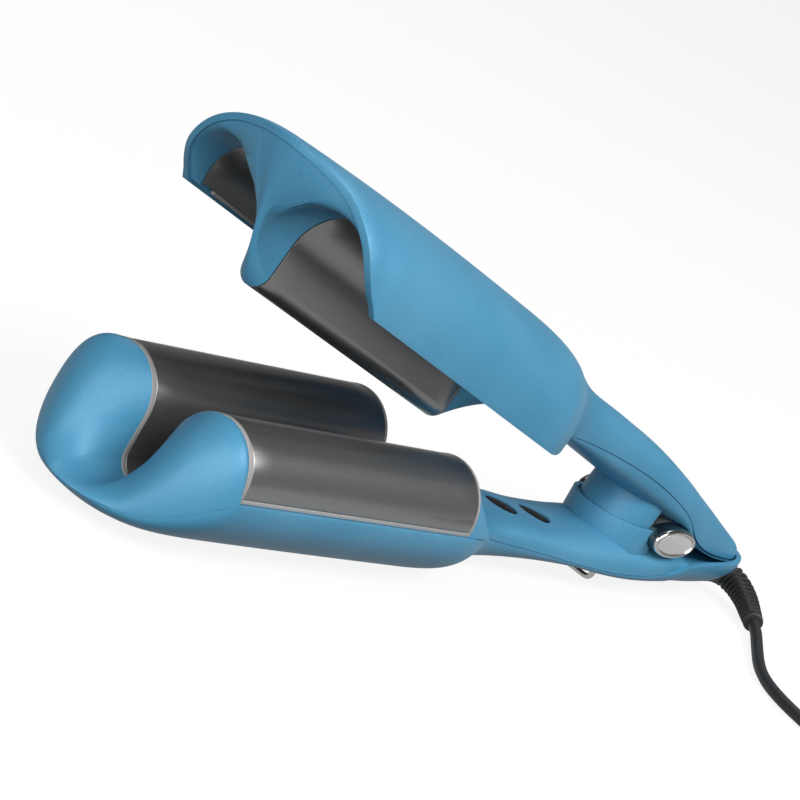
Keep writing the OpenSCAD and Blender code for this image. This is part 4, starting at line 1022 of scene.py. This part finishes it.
def tailPoint(l):
    h = radians(cord["leave"])
    r = cord["turns"][-1]
    x, y = cord["coil"][0] + r * sin(h), cord["coil"][1] - r * cos(h)
    a, d = h + max(0, l - cord["straight"]) / cord["bendR"], min(l, cord["straight"])
    return (x + d * cos(h) + cord["bendR"] * (sin(a) - sin(h)),
            y + d * sin(h) - cord["bendR"] * (cos(a) - cos(h)))


tailLen = cord["straight"] + cord["bendR"] * radians(cord["plugTurn"] - cord["leave"])


def coilLine():  # turns laid one on another, each resting on what lies below it
    cx, cy = cord["coil"]
    step = 360 / cord["pointsPerTurn"]
    lastX, lastY, _ = cord["route"][-1]
    first = degrees(atan2(lastY - cy, lastX - cx))
    entry = hypot(lastX - cx, lastY - cy)
    landed, stop = cord["landed"], 270 + 360 * (len(cord["turns"]) - 1) + cord["leave"]

    def radius(angle):
        if angle < landed:
            u = (angle - first) / (landed - first)
            return lerp(cord["turns"][0], entry, (1 - u) ** 2.5)
        r = cord["turns"][0]
        for k, (a, b) in enumerate(zip(cord["turns"], cord["turns"][1:])):
            # each step to the next turn comes a little earlier
            end = landed + 360 + (360 - cord["drift"]) * k
            r += (b - a) * smooth(end - cord["stepTurn"], end, angle)
        return r

    count = int((stop - first) / step)
    angles = [first + (stop - first) * i / count for i in range(1, count + 1)]
    radii = [radius(a) for a in angles]
    heights = []
    for i, angle in enumerate(angles):
        z = cord["floorZ"]
        back = angle - 360
        while back > first:
            k = (back - angles[0]) / (angles[1] - angles[0])
            j = max(0, min(round(k), i - 1))
            away = abs(radii[i] - radius(back))
            if away < cord["touch"]:
                z = max(z, heights[j] + sqrt(cord["touch"] ** 2 - away**2))
            back -= 360
        heights.append(z)
    eased = np.convolve(np.pad(heights, 2, mode="edge"), np.ones(5) / 5, mode="valid")
    return [(cx + r * cos(radians(a)), cy + r * sin(radians(a)), z)
            for r, a, z in zip(radii, angles, eased)]


def cordLine():
    lead = [tuple(p) for p in throughPoints(cord["route"], 3)]
    turns = coilLine()
    top = turns[-1][2]
    heights = [(0, top), (5, top + 0.3), (9, 13), (12, 13.1), (15, 12.8), (18, 12), (21, 10.5), (25, 8.4),
               (30, 6.2), (35, 4.7), (tailLen, 4)]
    tail = [(*tailPoint(l), keyed(heights, l)) for l in np.linspace(1.5, tailLen, 24)]
    return lead + turns + tail


def makeCord():
    line = cordLine()
    data = bpy.data.curves.new("powerCord", "CURVE")
    data.dimensions = "3D"
    data.bevel_depth, data.bevel_resolution, data.use_fill_caps = cord["diameter"] / 2 * metre, 3, True
    spline = data.splines.new("POLY")
    spline.points.add(len(line) - 1)
    for point, p in zip(spline.points, line):
        point.co = (*(c * metre for c in p), 1)
    data.materials.append(looks["cord"])
    piece = placed("powerCord", data)
    piece["body"] = "lower_arm"
    long = sum(dist(a, b) for a, b in zip(line, line[1:])) * metre
    print("cord length", round(long, 3))
    return piece, long


plug = {"sections": [(0, 3.5, 0.5, 7.5, 2), (0.8, 3.9, 0.4, 7.9, 2), (6, 5.6, 0.25, 9.2, 2.3),
                (11, 7.4, 0.15, 10.8, 3), (16, 8.9, 0.1, 12, 4), (22, 9.2, 0.1, 12.6, 4),
                (30, 9.6, 0.1, 13.3, 4.5), (35.6, 9.9, 0.1, 13.9, 5), (36.6, 9.7, 0.3, 13.7, 5),
                (37, 9.1, 0.8, 13.2, 5)],
        "grips": (17.5, 30), "gripDepth": 0.45, "gripStep": 2.5}


def makePlug():
    at, *keys = zip(*plug["sections"])
    rings = []
    for x in refine(at, 6):
        half, low, high, power = (np.interp(x, at, k) for k in keys)
        if plug["grips"][0] < x < plug["grips"][1]:
            turn = 2 * pi * (x - plug["grips"][0]) / plug["gripStep"]
            half -= plug["gripDepth"] * (0.5 - 0.5 * cos(turn))
        rings.append([(x, half * copysign(abs(c) ** (2 / power), c),
                       (low + high) / 2 + (high - low) / 2 * copysign(abs(s) ** (2 / power), s))
                      for c, s in circle(48)])
    return moved(loft("plugBody", rings, "cord", sharp=50), (*tailPoint(tailLen), 0), cord["plugTurn"], "Z")


tie = {"halfW": 4, "thick": 1.0, "in": 6.1, "height": 15.0, "bend": 2.2, "footZ": 0.1, "round": 0.2}


def makeTie():
    cx, cy = cord["coil"]
    centre, foot = cx + cord["turns"][1], tie["footZ"]

    def path(grow):
        a, r, top = tie["in"] + grow, tie["bend"] + grow, tie["height"] + grow
        arc = [(centre - a + r - r * cos(t), top - r + r * sin(t))
               for t in np.linspace(0, pi / 2, 8)]
        return [(centre - a, foot)] + arc + [(2 * centre - x, z) for x, z in arc[::-1]] + [(centre + a, foot)]

    outer, inner = ([[(x, y, z) for x, z in path(grow)] for y in (cy - tie["halfW"], cy + tie["halfW"])]
                    for grow in (tie["thick"], 0))
    return rounded(skin("cordTie", outer, inner, "strap"), tie["round"], 2)


# everything is made, placed on its body and given its finish
made = {}


def keep(piece, slot, *replaced):
    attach(piece, piece["body"])
    del piece["body"]
    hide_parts(*replaced)
    made[piece.name] = piece


powerCord, cordLen = makeCord()
keep(powerCord, "cord_rubber", "power_cord", "cord_coil")
stages = {
    "cord, tie, plug and strain relief": [
        (makePlug, "cord_rubber", "plug_body"), (makeTie, "tie_strap", "cord_tie"),
        (makeRelief, "relief_rubber", "strain_relief")],
    "lower arm": [
        (makeLowerShell, "blue_shell", "lower_outer_shell"),
        (makeLowerNose, "blue_shell", "lower_nose_cap"),
        (makeLowerCover, "blue_shell", "lower_handle_cover"),
        (makeLowerPlate, "hot_plate", "lower_heat_plate"),
        (makeLowerTrim, "plate_trim", "lower_plate_trim")],
    "upper arm": [
        (makeUpperShell, "blue_shell", "upper_outer_shell"),
        (makeVisor, "blue_shell", "upper_nose_cap"),
        (makeUpperCover, "blue_shell", "upper_handle_cover"),
        (makeUpperPlate, "hot_plate", "upper_heat_plate"),
        (makeUpperTrim, "plate_trim", "upper_plate_trim")],
    "spring, hinge, buttons and stand": [
        (makeCup, "blue_shell", "lower_spring_cup"), (makeBoss, "blue_shell", "upper_spring_boss"),
        (makeSpring, "steel", "return_spring"),
        (makeCap, "chrome_cap", "hinge_cap_near", -1), (makeDisc, "satin_disc", "hinge_disc_near", -1),
        (makeCap, "chrome_cap", "hinge_cap_far", 1), (makeDisc, "satin_disc", "hinge_disc_far", 1),
        (makeButton, "button", "power_button", 0), (makeButton, "button", "heat_button", 1),
        (makeStand, "steel", "wire_stand")],
}
for stage, plans in stages.items():
    for make, slot, replaced, *choice in plans:
        keep(make(*choice), slot, replaced)
    print(stage, "made")

plugBody, cordTie, strainRelief, returnSpring = (
    made[name] for name in ("plugBody", "cordTie", "strainRelief", "returnSpring"))
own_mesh(returnSpring)

finishes = {  # a node that nothing replaces gets its look by the end of its name
    "nylon": ("plate_carrier", "board_standoffs", "hinge_frame", "stand_tray", "cord_clamp"),
    "steel": ("heater_springs", "hinge_pin", "screws"), "heater": ("_heaters",), "ivory": ("thermal_fuse",),
    "circuit": ("control_board",), "switch": ("tact_switches",), "lead": ("heater_leads",),
    "brownLead": ("mains_leads",), "brass": ("hinge_bush",), "pinMetal": ("plug_pins",),
}
for look, endings in finishes.items():
    for node in (nodes[name] for name in nodes if name.endswith(endings)):
        for slot in node.material_slots:
            slot.material = looks[look]

lamps = {  # place, aim and size in metres, then watts
    "key": ((-1.45, -0.8, 0.85), (0.08, 0, 0.05), (2.3, 1.6), 40),
    "fill": ((0.3, -1.15, 1.3), (0.08, 0, 0.05), (1.5, 0.8), 28),
    "top": ((0.7, 0.6, 1.4), (0.1, 0, 0.05), (1.2, 0.5), 6),
}
sky = [(0.0, (0.24, 0.24, 0.245)), (0.25, (0.14, 0.14, 0.145)), (0.6, (0.06, 0.06, 0.062)),
       (1.0, (0.1, 0.1, 0.102))]


def lightScene():
    for name, (place, aim, size, watts) in lamps.items():
        data = bpy.data.lights.new(name, "AREA")
        data.shape, data.size, data.size_y, data.energy = "RECTANGLE", *size, watts
        lamp = placed(name, data)
        lamp.location = place
        lamp.rotation_euler = (Vector(aim) - Vector(place)).to_track_quat("-Z", "Y").to_euler()
    world = bpy.data.worlds.new("studio")
    world.use_nodes = True
    bpy.context.scene.world = world
    studio = Wiring(world.node_tree)
    place = studio.add("ShaderNodeTexCoord", out="Generated")
    height = studio.add("ShaderNodeSeparateXYZ", {}, {0: place}, "Z")
    seen = studio.add("ShaderNodeLightPath", out="Is Camera Ray")
    tone = studio.between(seen, studio.ramp(height, sky), (1, 1, 1))
    studio.feed(studio.tree.nodes["Background"].inputs[0], tone)


def layFloor():
    size = 6000
    corners = [(-size, -size, 0), (size, -size, 0), (size, size, 0), (-size, size, 0)]
    floor = placed("floor", meshOf("floor", corners, [], [(0, 1, 2, 3)]))
    paper = Look("paleFloor", Roughness=0.9, Specular_IOR_Level=0.1)
    seen, mirrored, through = (paper.add("ShaderNodeLightPath", out="Is " + ray + " Ray")
                               for ray in ("Camera", "Glossy", "Transmission"))
    paper.set("Base Color", paper.between(seen, (0.04, 0.04, 0.04), (0.97, 0.97, 0.97)))
    glow = paper.add("ShaderNodeEmission", {}, {"Color": (1, 1, 1), "Strength": 1.0})
    share = (seen + through) * 0.88 + mirrored * 0.5
    mix = paper.add("ShaderNodeMixShader", {}, {0: share, 1: Signal(paper, paper.shader.outputs[0]), 2: glow})
    paper.feed(paper.tree.nodes["Material Output"].inputs[0], mix)
    floor.data.materials.append(paper.material)


lightScene()
layFloor()
bpy.context.scene.view_settings.view_transform = "Standard"
print("light and floor set:", len(made), "pieces made")
